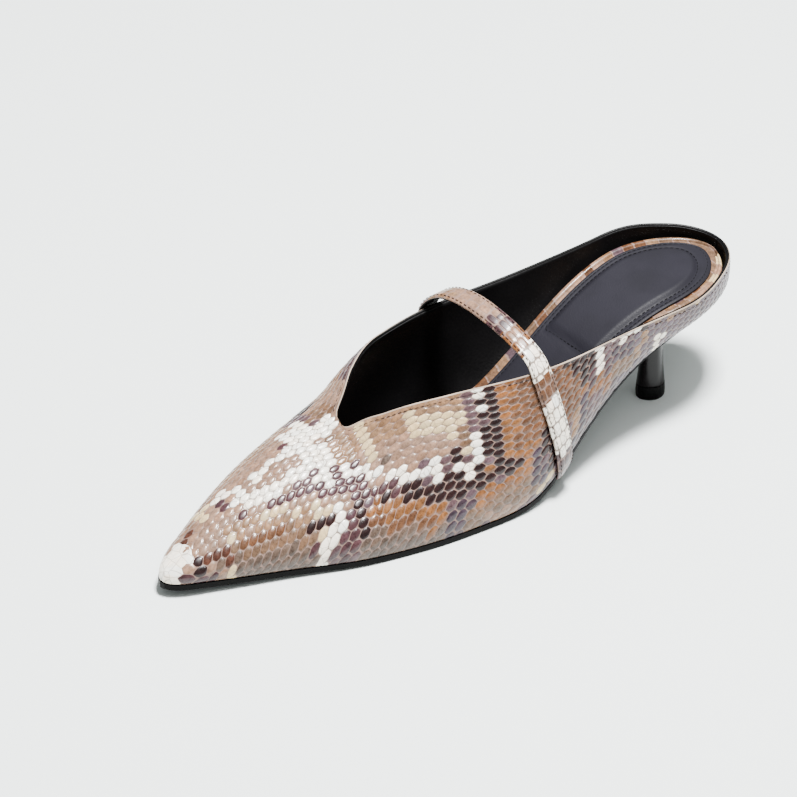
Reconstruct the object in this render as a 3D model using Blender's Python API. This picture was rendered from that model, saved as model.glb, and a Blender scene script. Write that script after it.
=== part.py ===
# Pointed kitten-heel mule for the left foot, built from the sections of its last.
# Metres, +Z up. The toe points to -Y and the wearer's left, the outer side, is +X.
import math

import bmesh
import bpy
import numpy as np

# Driving sizes
SHOE_LENGTH = 0.270
BALL_HALF_WIDTH = 0.040
HEEL_RISE = 0.045
TOE_SPRING = 0.0035
TOPLINE_HEIGHT = 0.056
INSTEP_HEIGHT = 0.066
CLEARANCE = 0.0003

# Upper
UPPER_WALL = 0.0016
HEEL_TURN = 0.042
HEEL_SPLIT = 0.0126
TOE_TURN = 0.256
THROAT_POINT = 0.1825
THROAT_START = 0.150
THROAT_BOW_LATERAL = 0.38
THROAT_BOW_MEDIAL = 0.22
THROAT_TIP_STEP = 0.0012
RIDGE_BLEND = 0.014
FEATHER_BACK = 0.0062
FEATHER_FULLNESS = 2.15
RIM_BACK = 0.0028
RIM_FULLNESS = 1.72
HEEL_BACK_SIDE = -0.0026
TOE_TIP_SIDE = 0.0029
TOE_TIP_ROUND = 0.0042

# Outsole
OUTSOLE_THICKNESS = 0.0028
WAIST_THICKNESS = 0.0022
OUTSOLE_MARGIN = 0.0004
SEAT_TUCK = 0.0016
SEAT_TUCK_START = 0.0672
SEAT_TUCK_FULL = 0.0252
WAIST_START = 0.1296
WAIST_FULL = 0.0756
SOLE_EDGE_ROUND = 0.0007

# Heel and top piece
HEEL_STATION = 0.0400
HEEL_SIDE = 0.0040
HEEL_BASE_LENGTH = 0.0124
HEEL_BASE_WIDTH = 0.0114
HEEL_SEAT_LENGTH = 0.0260
HEEL_SEAT_WIDTH = 0.0240
TOP_PIECE_HEIGHT = 0.0060

# Insole and sock
INSOLE_FRONT = 0.246
INSOLE_BACK = 0.0058
INSOLE_FULLNESS = 2.0
INSOLE_GAP = 0.0008
FOOTBED_LIFT = 0.0545
SOCK_THICKNESS = 0.0010
SOCK_INSET = 0.0024
SOCK_FRONT = 0.238
PAD_RAISE = 0.0013
PAD_INSET = 0.0078
PAD_BACK = 0.0165
PAD_FRONT = 0.0800
PAD_SOFT_EDGE = 0.0026

# Strap
STRAP_WIDTH = 0.0086
STRAP_THICKNESS = 0.0018
STRAP_PITCH = 18.0
STRAP_GAP = 0.0005
STRAP_FOOT_LIFT = 0.0006
STRAP_LIP = 0.65
STRAP_FLAT = 0.86

# Finishes: base colour, roughness, metallic
EMBOSSED_LEATHER = ((0.40, 0.30, 0.25, 1.0), 0.32, 0.0)
SOCK_LEATHER = ((0.065, 0.060, 0.085, 1.0), 0.48, 0.0)
BLACK_SOLE = ((0.012, 0.011, 0.013, 1.0), 0.45, 0.0)
BLACK_GLOSS = ((0.010, 0.009, 0.011, 1.0), 0.16, 0.0)
BLACK_RUBBER = ((0.014, 0.013, 0.014, 1.0), 0.42, 0.0)

LATERAL = 1
MEDIAL = -1


class Table:
    """Sections of the shoe: the first column is the station, a share of the shoe's length from
    the back, and each other column is read by name through a smooth curve."""

    def __init__(self, columns, rows):
        self.columns = columns
        self.rows = np.array(rows, float)
        self.bends = {}
        for index, name in enumerate(columns[1:], 1):
            self.bends[name] = self.bend(self.rows[:, 0], self.rows[:, index])

    @staticmethod
    def bend(stations, values):
        """Second derivatives of the natural cubic curve through the rows."""
        count = len(stations)
        matrix = np.eye(count)
        right = np.zeros(count)
        for i in range(1, count - 1):
            before = stations[i] - stations[i - 1]
            after = stations[i + 1] - stations[i]
            matrix[i, i - 1:i + 2] = before, 2 * (before + after), after
            slope_after = (values[i + 1] - values[i]) / after
            slope_before = (values[i] - values[i - 1]) / before
            right[i] = 6 * (slope_after - slope_before)
        return np.linalg.solve(matrix, right)

    def read(self, name, distance):
        """Value of a column at a distance from the back of the shoe, in metres."""
        stations = self.rows[:, 0]
        values = self.rows[:, self.columns.index(name)]
        bends = self.bends[name]
        share = min(max(distance / SHOE_LENGTH, stations[0]), stations[-1])
        i = min(int(np.searchsorted(stations, share, side="right")) - 1, len(stations) - 2)
        gap = stations[i + 1] - stations[i]
        a = (stations[i + 1] - share) / gap
        b = 1 - a
        curve = (a ** 3 - a) * bends[i] + (b ** 3 - b) * bends[i + 1]
        return a * values[i] + b * values[i + 1] + curve * gap * gap / 6


# Feather edge: half widths as shares of BALL_HALF_WIDTH, rises of HEEL_RISE, spring of TOE_SPRING
FEATHER = Table(
    ("station", "lateral", "medial", "rise_lateral", "rise_medial", "spring"),
    (
        (0.000, 0.585, 0.590, 0.985, 0.985, 0.00),
        (0.074, 0.585, 0.590, 0.960, 0.965, 0.00),
        (0.156, 0.585, 0.590, 0.870, 0.890, 0.00),
        (0.259, 0.625, 0.480, 0.645, 0.725, 0.00),
        (0.359, 0.790, 0.390, 0.275, 0.425, 0.00),
        (0.444, 0.985, 0.475, 0.046, 0.140, 0.00),
        (0.537, 1.010, 0.700, 0.000, 0.010, 0.00),
        (0.611, 0.975, 0.840, 0.000, 0.000, 0.00),
        (0.674, 0.905, 0.885, 0.000, 0.000, 0.02),
        (0.741, 0.798, 0.812, 0.000, 0.000, 0.14),
        (0.815, 0.612, 0.645, 0.000, 0.000, 0.31),
        (0.889, 0.442, 0.425, 0.000, 0.000, 0.52),
        (0.948, 0.305, 0.230, 0.000, 0.000, 0.72),
        (1.000, 0.190, 0.060, 0.000, 0.000, 1.00),
    ),
)

# Wall: lean of its foot from level in degrees, and how far its foot and crown curves reach,
# as shares of BALL_HALF_WIDTH
WALL = Table(
    ("station", "lean_lateral", "lean_medial", "foot_lateral", "foot_medial",
     "crown_lateral", "crown_medial"),
    (
        (0.000, 20, 20, 0.14, 0.14, 0.22, 0.22),
        (0.156, 22, 22, 0.16, 0.16, 0.25, 0.25),
        (0.259, 34, 28, 0.24, 0.22, 0.30, 0.30),
        (0.359, 52, 36, 0.34, 0.32, 0.35, 0.35),
        (0.444, 64, 46, 0.38, 0.38, 0.37, 0.38),
        (0.537, 73, 62, 0.38, 0.45, 0.38, 0.44),
        (0.611, 77, 74, 0.38, 0.54, 0.39, 0.50),
        (0.676, 77, 78, 0.37, 0.57, 0.40, 0.54),
        (0.741, 73, 75, 0.31, 0.46, 0.37, 0.44),
        (0.815, 68, 70, 0.25, 0.38, 0.31, 0.37),
        (0.889, 62, 66, 0.19, 0.28, 0.23, 0.28),
        (0.948, 60, 62, 0.14, 0.18, 0.16, 0.18),
        (1.000, 78, 78, 0.10, 0.10, 0.16, 0.16),
    ),
)

# Crown: the line where the vamp's halves meet, and behind the throat the lines that the walls
# would rise to. Places as shares of BALL_HALF_WIDTH, heights of INSTEP_HEIGHT, and in degrees
# the fall of the surface away from the line, where 90 is an upright wall
CROWN = Table(
    ("station", "lateral", "medial", "height_lateral", "height_medial",
     "fall_lateral", "fall_medial"),
    (
        (0.000, 0.690, 0.715, 1.040, 1.060, 90, 90),
        (0.156, 0.690, 0.715, 1.040, 1.060, 90, 90),
        (0.259, 0.675, 0.690, 1.040, 1.060, 86, 86),
        (0.359, 0.650, 0.675, 1.035, 1.055, 76, 76),
        (0.444, 0.545, 0.640, 1.000, 1.025, 62, 57),
        (0.537, 0.290, 0.500, 0.890, 0.945, 46, 25),
        (0.593, 0.100, 0.350, 0.795, 0.855, 34, -4),
        (0.637, -0.045, 0.200, 0.685, 0.722, 26, -18),
        (0.676, -0.100, 0.100, 0.586, 0.586, 22, -22),
        (0.741, -0.100, 0.100, 0.530, 0.530, 17, -17),
        (0.815, -0.068, 0.068, 0.450, 0.450, 12, -12),
        (0.889, -0.015, 0.015, 0.345, 0.345, 8, -8),
        (0.948, 0.040, -0.040, 0.242, 0.242, 4, -4),
        (1.000, 0.072, -0.072, 0.130, 0.130, 0, 0),
    ),
)

# Topline: heights as shares of TOPLINE_HEIGHT
TOPLINE = Table(
    ("station", "lateral", "medial"),
    (
        (0.000, 1.005, 1.010),
        (0.037, 1.010, 1.060),
        (0.074, 1.015, 1.072),
        (0.156, 1.002, 1.045),
        (0.259, 0.998, 1.036),
        (0.359, 0.983, 1.024),
        (0.444, 0.972, 1.010),
        (0.537, 0.914, 0.982),
        (0.580, 0.868, 0.958),
    ),
)

# Footbed: half widths as shares of BALL_HALF_WIDTH, heights as shares of FOOTBED_LIFT
FOOTBED = Table(
    ("station", "lateral", "medial", "height_lateral", "height_medial"),
    (
        (0.000, 0.590, 0.600, 0.985, 0.985),
        (0.074, 0.590, 0.600, 1.000, 1.000),
        (0.156, 0.590, 0.600, 0.985, 0.985),
        (0.259, 0.590, 0.525, 0.815, 0.830),
        (0.359, 0.680, 0.440, 0.500, 0.555),
        (0.444, 0.820, 0.470, 0.235, 0.295),
        (0.537, 0.890, 0.660, 0.135, 0.150),
        (0.611, 0.860, 0.770, 0.118, 0.118),
        (0.674, 0.800, 0.780, 0.117, 0.117),
        (0.741, 0.680, 0.690, 0.122, 0.122),
        (0.815, 0.500, 0.520, 0.136, 0.136),
        (0.889, 0.330, 0.290, 0.152, 0.152),
        (0.948, 0.200, 0.120, 0.166, 0.166),
    ),
)

# Heel: level from the seat (0) to the top piece (1), how far its size goes from the base's size
# (0) to the seat's size (1), and how far the base's size is slimmed
HEEL_SECTIONS = (
    # level, spread to the seat, slimming of the base size
    (0.00, 1.00, 1.00),
    (0.06, 0.72, 0.95),
    (0.14, 0.36, 0.88),
    (0.24, 0.13, 0.82),
    (0.36, 0.03, 0.78),
    (0.52, 0.00, 0.77),
    (0.68, 0.00, 0.80),
    (0.84, 0.00, 0.87),
    (1.00, 0.00, 0.955),
)

# Strap over the instep: place across as a share of BALL_HALF_WIDTH, station as a share of
# SHOE_LENGTH, height as a share of INSTEP_HEIGHT
STRAP_ARCH = (
    # across, station, height
    (0.640, 0.4200, 0.895),
    (0.530, 0.4230, 0.935),
    (0.330, 0.4270, 0.980),
    (0.100, 0.4335, 1.020),
    (-0.150, 0.4400, 1.040),
    (-0.420, 0.4460, 1.020),
    (-0.610, 0.4510, 0.960),
)
STRAP_FOOT_LATERAL = 0.3960
STRAP_RIM_LATERAL = 0.4185
STRAP_RIM_MEDIAL = 0.4590
STRAP_FOOT_MEDIAL = 0.4800


def side_name(side):
    return "lateral" if side == LATERAL else "medial"


def station_at(u):
    """Distance from the back at u: 0 to 1 turns round the heel, 1 to 2 runs to the toe turn,
    and 2 to 3 turns round the toe."""
    if u < 1:
        return HEEL_TURN * (1 - math.sin((1 - u) * math.pi / 2))
    if u <= 2:
        return HEEL_TURN + (TOE_TURN - HEEL_TURN) * (u - 1)
    return TOE_TURN + (SHOE_LENGTH - TOE_TURN) * (u - 2)


def u_at(distance):
    return 1 + (distance - HEEL_TURN) / (TOE_TURN - HEEL_TURN)


def outward(side, u):
    """Plan direction that a section faces: across, and along towards the toe."""
    if u < 1:
        angle = (1 - u) * math.pi / 2
        return np.array((side * math.cos(angle), -math.sin(angle), 0.0))
    if u <= 2:
        return np.array((float(side), 0.0, 0.0))
    angle = (u - 2) * math.pi / 2
    return np.array((side * math.cos(angle), math.sin(angle), 0.0))


def heel_curve(side, u, half_width, back, fullness):
    """Rounded plan curve behind the heel turn."""
    angle = (1 - u) * math.pi / 2
    power = 2 / fullness
    across = half_width * max(math.cos(angle), 0.0) ** power
    along = HEEL_TURN - (HEEL_TURN - back) * math.sin(angle) ** power
    shift = HEEL_BACK_SIDE * math.sin(angle) ** 3
    return np.array((side * across + shift, along, 0.0))


def heel_blend(distance):
    """How far the two sides are made one round the heel: 1 at the back, 0 at HEEL_SPLIT."""
    share = min(max((HEEL_TURN - distance) / (HEEL_TURN - HEEL_SPLIT), 0.0), 1.0)
    return share * share * (3 - 2 * share)


def feather_height(side, distance):
    """Height of the feather edge at a distance from the back. Both sides meet at the back."""
    rise = FEATHER.read("rise_" + side_name(side), distance)
    other = FEATHER.read("rise_" + side_name(-side), distance)
    rise = max(rise + (other - rise) / 2 * heel_blend(distance), 0.0)
    spring = max(FEATHER.read("spring", distance), 0.0)
    return OUTSOLE_THICKNESS + CLEARANCE + rise * HEEL_RISE + spring * TOE_SPRING


def toe_plan(side, turn):
    """Plan curve of the feather edge round the toe, turn 0 to 1."""
    width = BALL_HALF_WIDTH * FEATHER.read(side_name(side), TOE_TURN)
    ahead = BALL_HALF_WIDTH * FEATHER.read(side_name(side), SHOE_LENGTH)
    start = np.array((side * width, TOE_TURN, 0.0))
    taper = np.array((side * (ahead - width), SHOE_LENGTH - TOE_TURN, 0.0))
    tip = np.array((TOE_TIP_SIDE, SHOE_LENGTH, 0.0))
    near = start + taper * 0.5
    round_off = tip + np.array((side * TOE_TIP_ROUND, 0.0, 0.0))
    return bezier((start, near, round_off, tip), turn)


def bezier(points, t):
    a, b, c, d = points
    return (1 - t) ** 3 * a + 3 * t * (1 - t) ** 2 * b + 3 * t * t * (1 - t) * c + t ** 3 * d


def feather_point(side, u):
    distance = station_at(u)
    if u < 1:
        width = BALL_HALF_WIDTH * FEATHER.read(side_name(side), HEEL_TURN)
        point = heel_curve(side, u, width, FEATHER_BACK, FEATHER_FULLNESS)
    elif u <= 2:
        width = BALL_HALF_WIDTH * FEATHER.read(side_name(side), distance)
        point = np.array((side * width, distance, 0.0))
    else:
        point = toe_plan(side, u - 2)
    point[2] = feather_height(side, point[1] if u < 1 else distance)
    return point


def crown_value(name, side, distance):
    """A crown value of one side, turning softly into the shared line ahead of the throat point."""
    value = CROWN.read(name + side_name(side), distance)
    other = CROWN.read(name + side_name(-side), distance)
    shared = (value + other) / 2 if name == "height_" else (value - other) / 2
    share = min(max((distance - THROAT_POINT + RIDGE_BLEND) / RIDGE_BLEND, 0.0), 1.0)
    return value + (shared - value) * share * share * (3 - 2 * share)


def crown_point(side, u):
    distance = station_at(min(u, 2.0))
    if u < 1:
        width = BALL_HALF_WIDTH * CROWN.read(side_name(side), HEEL_TURN)
        point = heel_curve(side, u, width, RIM_BACK, RIM_FULLNESS)
    else:
        place = side * BALL_HALF_WIDTH * crown_value("", side, distance)
        point = np.array((place, distance, 0.0))
    height = crown_value("height_", side, distance)
    middle = (height + crown_value("height_", -side, distance)) / 2
    point[2] = INSTEP_HEIGHT * (height + (middle - height) * heel_blend(distance))
    return point


def ridge_direction():
    """Direction of the vamp's ridge where the toe turn starts, forwards and down."""
    step = 0.002
    ahead = crown_point(LATERAL, 2.0) - crown_point(LATERAL, u_at(TOE_TURN - step))
    return ahead / np.linalg.norm(ahead)


def section(side, u):
    """Four control points of the outer wall's curve, from the feather edge to the crown."""
    name = side_name(side)
    distance = station_at(u)
    foot = feather_point(side, u)
    crown = crown_point(side, u)
    face = outward(side, u)
    lean = math.radians(WALL.read("lean_" + name, distance))
    foot_reach = BALL_HALF_WIDTH * WALL.read("foot_" + name, distance)
    low = foot + foot_reach * (math.cos(lean) * face + np.array((0, 0, math.sin(lean))))
    crown_reach = BALL_HALF_WIDTH * WALL.read("crown_" + name, distance)
    fall = math.radians(crown_value("fall_", side, min(distance, TOE_TURN)))
    if u > 2:
        angle = (u - 2) * math.pi / 2
        level = np.array((side * math.cos(fall), 0.0, -math.sin(fall)))
        high = crown + crown_reach * (math.cos(angle) * level + math.sin(angle) * ridge_direction())
    else:
        high = crown + crown_reach * (math.cos(fall) * face - np.array((0, 0, math.sin(fall))))
    return foot, low, high, crown


def share_at_height(side, u, height):
    """Share of the section's curve at which the outer wall reaches a height."""
    points = section(side, u)
    low, high = 0.0, 1.0
    for _ in range(40):
        middle = (low + high) / 2
        if bezier(points, middle)[2] < height:
            low = middle
        else:
            high = middle
    return (low + high) / 2


def topline_height(side, distance):
    height = TOPLINE.read(side_name(side), distance)
    middle = (TOPLINE.read("lateral", distance) + TOPLINE.read("medial", distance)) / 2
    return TOPLINE_HEIGHT * (height + (middle - height) * heel_blend(distance) ** 2)


def top_share(side, u):
    """Share of the section's curve where the topline cuts it, 1 on the closed vamp."""
    distance = station_at(u)
    if distance >= THROAT_POINT:
        return 1.0
    if distance <= THROAT_START:
        return share_at_height(side, u, topline_height(side, distance))
    bow = THROAT_BOW_LATERAL if side == LATERAL else THROAT_BOW_MEDIAL
    start = u_at(THROAT_START)
    share = share_at_height(side, start, topline_height(side, THROAT_START))
    left = (THROAT_POINT - distance) / (THROAT_POINT - THROAT_START)
    return 1 - (1 - share) * left ** bow


def wall_point(side, u, share):
    """Point of the outer wall at a share of its height from feather edge to topline."""
    return bezier(section(side, u), share * top_share(side, u))


def wall_place(side, distance, height):
    """Point of the outer wall at a station and a height, and the way it faces there."""
    u = u_at(distance)
    step = 0.002
    share = share_at_height(side, u, height)
    points = section(side, u)
    here = bezier(points, share)
    up = bezier(points, min(share + 0.02, 1)) - bezier(points, max(share - 0.02, 0))
    next_u = u_at(distance + step)
    ahead = bezier(section(side, next_u), share_at_height(side, next_u, height)) - here
    facing = np.cross(ahead, up) * side
    facing = facing / np.linalg.norm(facing)
    if facing[0] * side < 0:
        facing = -facing
    return here, facing


def inner_reach(side, u, height):
    """How far out the upper's inner face is at a height, along the section's plan direction."""
    points = section(side, u)
    face = outward(side, u)
    shares = np.linspace(0, 1, 41)
    curve = np.array([bezier(points, t) for t in shares])
    reach = curve @ face
    run = np.gradient(reach)
    rise = np.gradient(curve[:, 2])
    length = np.hypot(run, rise)
    inner = reach - UPPER_WALL * rise / length
    level = curve[:, 2] + UPPER_WALL * run / length
    return float(np.interp(height, level, inner))


def stations(heel, middle, toe, front=None):
    """Values of u along the shoe, with the throat point among them."""
    end = 2.0 if front is None else u_at(front)
    spread = list(np.linspace(0, 1, heel + 1)[:-1]) + list(np.linspace(1, end, middle + 1))
    throat = u_at(THROAT_POINT)
    nearest = min(range(heel + 1, len(spread) - 1), key=lambda i: abs(spread[i] - throat))
    spread[nearest] = throat
    if front is None:
        spread.insert(nearest, u_at(THROAT_POINT - THROAT_TIP_STEP))
        spread += list(np.linspace(2, 3, toe + 1)[1:])
    return spread


def new_object(name, mesh_bm, finish, smooth_angle=40):
    mesh = bpy.data.meshes.new(name)
    mesh_bm.to_mesh(mesh)
    mesh_bm.free()
    material = bpy.data.materials.new(name)
    material.use_nodes = True
    shader = material.node_tree.nodes["Principled BSDF"]
    colour, roughness, metallic = finish
    shader.inputs["Base Color"].default_value = colour
    shader.inputs["Roughness"].default_value = roughness
    shader.inputs["Metallic"].default_value = metallic
    mesh.materials.append(material)
    obj = bpy.data.objects.new(name, mesh)
    bpy.context.scene.collection.objects.link(obj)
    mesh.shade_smooth()
    mesh.set_sharp_from_angle(angle=math.radians(smooth_angle))
    return obj


def world(point):
    """A point of the shoe (across, along, up) in the model's frame."""
    return (point[0] - FOOTPRINT[0], FOOTPRINT[1] - point[1], point[2])


def merge(bm):
    bmesh.ops.remove_doubles(bm, verts=bm.verts, dist=1e-6)
    bmesh.ops.dissolve_degenerate(bm, edges=bm.edges, dist=1e-7)


def closed_rows(bm, rows):
    """A closed skin over rows of points, where each row is a ring of the same count."""
    rings = [[bm.verts.new(world(p)) for p in row] for row in rows]
    count = len(rows[0])
    for first, second in zip(rings, rings[1:]):
        for i in range(count):
            j = (i + 1) % count
            bm.faces.new((first[i], first[j], second[j], second[i]))
    for ring in (rings[0], rings[-1]):
        bm.faces.new(ring)
    merge(bm)
    bmesh.ops.recalc_face_normals(bm, faces=bm.faces)
    if bm.calc_volume(signed=True) < 0:
        bmesh.ops.reverse_faces(bm, faces=bm.faces)


def slab_mesh(spread, ring):
    """A closed slab whose section at each u is the ring of points that ring(u) gives."""
    bm = bmesh.new()
    closed_rows(bm, [ring(u) for u in spread])
    return bm


def build_upper():
    bm = bmesh.new()
    spread = stations(heel=9, middle=33, toe=6)
    girth = np.linspace(0, 1, 11)
    for side in (LATERAL, MEDIAL):
        grid = []
        for u in spread:
            grid.append([bm.verts.new(world(wall_point(side, u, t))) for t in girth])
        for row, after in zip(grid, grid[1:]):
            for i in range(len(girth) - 1):
                quad = (row[i], row[i + 1], after[i + 1], after[i])
                bm.faces.new(quad if side == LATERAL else quad[::-1])
    merge(bm)
    upper = new_object("upper", bm, EMBOSSED_LEATHER)
    wall = upper.modifiers.new("wall", "SOLIDIFY")
    wall.thickness = UPPER_WALL
    wall.offset = -1
    wall.use_even_offset = True
    wall.use_quality_normals = True
    return upper


def sole_edge(side, u):
    """Top edge of the outsole under the feather edge."""
    point = feather_point(side, u)
    distance = station_at(u)
    tuck = (SEAT_TUCK_START - distance) / (SEAT_TUCK_START - SEAT_TUCK_FULL)
    tuck = min(max(tuck, 0.0), 1.0)
    margin = OUTSOLE_MARGIN - (OUTSOLE_MARGIN + SEAT_TUCK) * tuck
    face = outward(side, u)
    point = point + margin * face
    point[2] = feather_height(side, point[1] if u < 2 else distance) - CLEARANCE
    return point


def sole_thickness(distance):
    waist = min(max((WAIST_START - distance) / (WAIST_START - WAIST_FULL), 0.0), 1.0)
    return OUTSOLE_THICKNESS + (WAIST_THICKNESS - OUTSOLE_THICKNESS) * waist


def outsole_ring(u):
    left = sole_edge(MEDIAL, u)
    right = sole_edge(LATERAL, u)
    thickness = sole_thickness(station_at(u))
    span = np.linalg.norm(right - left)
    trim = min(SOLE_EDGE_ROUND / max(span, 1e-9), 0.5)
    down = np.array((0, 0, thickness))
    shares = (0.0, 0.25, 0.5, 0.75, 1.0)
    top = [left + (right - left) * c for c in shares]
    under = [left + (right - left) * (trim + (1 - 2 * trim) * c) - down for c in reversed(shares)]
    lip = np.array((0, 0, thickness - SOLE_EDGE_ROUND))
    return top + [right - lip] + under + [left - lip]


def build_outsole():
    bm = slab_mesh(stations(heel=9, middle=33, toe=6), outsole_ring)
    return new_object("outsole", bm, BLACK_SOLE)


def sole_top(across, distance):
    """Height of the outsole's upper face at a place, and its u."""
    if distance < HEEL_TURN:
        low, high = 0.0, 1.0
        for _ in range(40):
            middle = (low + high) / 2
            if feather_point(LATERAL, middle)[1] < distance:
                low = middle
            else:
                high = middle
        u = (low + high) / 2
    else:
        u = u_at(distance)
    left = sole_edge(MEDIAL, u)
    right = sole_edge(LATERAL, u)
    share = (across - left[0]) / (right[0] - left[0])
    return left[2] + (right[2] - left[2]) * share, u


def sole_underside(across, distance):
    """Height of the outsole's underside at a place, for the heel to sit against."""
    height, u = sole_top(across, distance)
    return height - sole_thickness(station_at(u))


def oval(length, width, height, count=28):
    """Ring of the heel: rounded at the back and flatter at the breast, at one height."""
    ring = []
    for i in range(count):
        angle = 2 * math.pi * i / count
        along = math.cos(angle)
        across = math.sin(angle)
        if along > 0:
            along = along ** 1.35
        place = HEEL_SIDE + across * width / 2
        ring.append(np.array((place, HEEL_STATION + along * length / 2, height)))
    return ring


def build_heel():
    bottom = TOP_PIECE_HEIGHT + CLEARANCE
    rows = []
    for level, spread, slim in HEEL_SECTIONS:
        length = HEEL_BASE_LENGTH * slim + (HEEL_SEAT_LENGTH - HEEL_BASE_LENGTH) * spread
        width = HEEL_BASE_WIDTH * slim + (HEEL_SEAT_WIDTH - HEEL_BASE_WIDTH) * spread
        ring = oval(length, width, 0.0)
        for point in ring:
            seat = sole_underside(point[0], point[1]) - CLEARANCE
            point[2] = seat + (bottom - seat) * level
        rows.append(ring)
    bm = bmesh.new()
    closed_rows(bm, rows)
    return new_object("heel", bm, BLACK_GLOSS)


def build_top_piece():
    rows = []
    for share, size in ((0.0, 0.94), (0.08, 0.985), (0.5, 1.0), (1.0, 0.965)):
        length = HEEL_BASE_LENGTH * size
        width = HEEL_BASE_WIDTH * size
        rows.append(oval(length, width, TOP_PIECE_HEIGHT * share))
    bm = bmesh.new()
    closed_rows(bm, rows)
    return new_object("top_piece", bm, BLACK_RUBBER)


def footbed_height(across, along):
    """Height of the footbed, level across or tilted evenly to one side at each station."""
    lateral = FOOTBED.read("height_lateral", along)
    medial = FOOTBED.read("height_medial", along)
    tilt = across / BALL_HALF_WIDTH
    return FOOTBED_LIFT * ((lateral + medial) / 2 + (lateral - medial) / 2 * tilt)


def footbed_edge(side, u, drop=0.0, inset=0.0):
    """Edge of the footbed, lowered by drop and set in by inset, kept inside the upper."""
    name = side_name(side)
    distance = station_at(u)
    if u < 1:
        width = BALL_HALF_WIDTH * FOOTBED.read(name, HEEL_TURN)
        point = heel_curve(side, u, width - inset, INSOLE_BACK + inset, INSOLE_FULLNESS)
    else:
        width = BALL_HALF_WIDTH * FOOTBED.read(name, distance)
        height = footbed_height(side * width, distance)
        width = min(width, inner_reach(side, u, height) - INSOLE_GAP)
        point = np.array((side * (width - inset), distance, 0.0))
    point[2] = footbed_height(point[0], point[1]) - drop
    return point


def footbed_stations(front):
    """Values of u along the footbed up to its front, shared by the insole and the sock."""
    spread = stations(heel=8, middle=26, toe=0, front=INSOLE_FRONT)
    spread += [u_at(PAD_FRONT), u_at(PAD_FRONT - PAD_SOFT_EDGE)]
    return [u for u in sorted(spread) if u <= u_at(front) + 1e-6]


def insole_foot(side, u):
    """Lower edge of the insole, on the outsole and inside the upper's foot."""
    point = feather_point(side, u)
    reach = UPPER_WALL + INSOLE_GAP
    point = point - reach * outward(side, u)
    point[2] = sole_top(point[0], point[1])[0] + CLEARANCE
    return point


def insole_ring(u):
    drop = SOCK_THICKNESS + CLEARANCE
    shares = (0.0, 0.25, 0.5, 0.75, 1.0)
    left, right = footbed_edge(MEDIAL, u, drop), footbed_edge(LATERAL, u, drop)
    low_left, low_right = insole_foot(MEDIAL, u), insole_foot(LATERAL, u)
    top = [left + (right - left) * c for c in shares]
    under = [low_right + (low_left - low_right) * c for c in shares]
    return top + [right * 0.5 + low_right * 0.5] + under + [left * 0.5 + low_left * 0.5]


def build_insole():
    bm = slab_mesh(footbed_stations(INSOLE_FRONT), insole_ring)
    return new_object("insole", bm, EMBOSSED_LEATHER)


def pad_raise(point, left, right):
    """Height of the padded heel area above the sock: full inside its outline, none outside."""
    inside = min(point[0] - left[0], right[0] - point[0]) - (PAD_INSET - SOCK_INSET)
    back = point[1] - PAD_BACK
    front = PAD_FRONT - point[1]
    corner = HEEL_TURN * 0.5
    if back < corner:
        half = (right[0] - left[0]) / 2 - (PAD_INSET - SOCK_INSET)
        bend = max(1 - ((corner - back) / corner) ** 2, 0.0) ** 0.5
        inside = min(inside, half * bend - abs(point[0] - (left[0] + right[0]) / 2))
    share = min(inside, back, front) / PAD_SOFT_EDGE
    share = min(max(share, 0.0), 1.0)
    return PAD_RAISE * share * share * (3 - 2 * share)


def sock_ring(u):
    shares = (0.0, 0.07, 0.16, 0.24, 0.5, 0.76, 0.84, 0.93, 1.0)
    left = footbed_edge(MEDIAL, u, 0.0, SOCK_INSET)
    right = footbed_edge(LATERAL, u, 0.0, SOCK_INSET)
    top = []
    for c in shares:
        point = left + (right - left) * c
        point[2] += pad_raise(point, left, right)
        top.append(point)
    down = np.array((0, 0, SOCK_THICKNESS))
    under = [left + (right - left) * c - down for c in (1.0, 0.66, 0.33, 0.0)]
    return top + under


def build_sock():
    bm = slab_mesh(footbed_stations(SOCK_FRONT), sock_ring)
    return new_object("sock", bm, SOCK_LEATHER)


def strap_rail(share):
    """One line along the strap's inner face: share -1 is its rear edge and 1 its front edge.
    It follows the walls up from both feather edges and crosses the instep between them."""
    offset = share * STRAP_WIDTH / 2
    walls = []
    for side, foot, rim in (
        (LATERAL, STRAP_FOOT_LATERAL, STRAP_RIM_LATERAL),
        (MEDIAL, STRAP_FOOT_MEDIAL, STRAP_RIM_MEDIAL),
    ):
        run = []
        low = STRAP_FOOT_LIFT
        for step in np.linspace(0, 1, 9):
            distance = SHOE_LENGTH * (foot + (rim - foot) * step) + offset
            base = feather_height(side, distance) + low
            top = topline_height(side, distance)
            here, facing = wall_place(side, distance, base + (top - base) * step)
            run.append(here + STRAP_GAP * facing)
        walls.append(run)
    pitch = math.radians(STRAP_PITCH)
    arch = []
    for across, station, height in STRAP_ARCH:
        middle = np.array((across * BALL_HALF_WIDTH, station * SHOE_LENGTH, height * INSTEP_HEIGHT))
        slope = pitch * (1 - min(abs(across) / 0.7, 1.0) ** 2)
        arch.append(middle + offset * np.array((0.0, math.cos(slope), -math.sin(slope))))
    return walls[0] + arch + walls[1][::-1]


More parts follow.
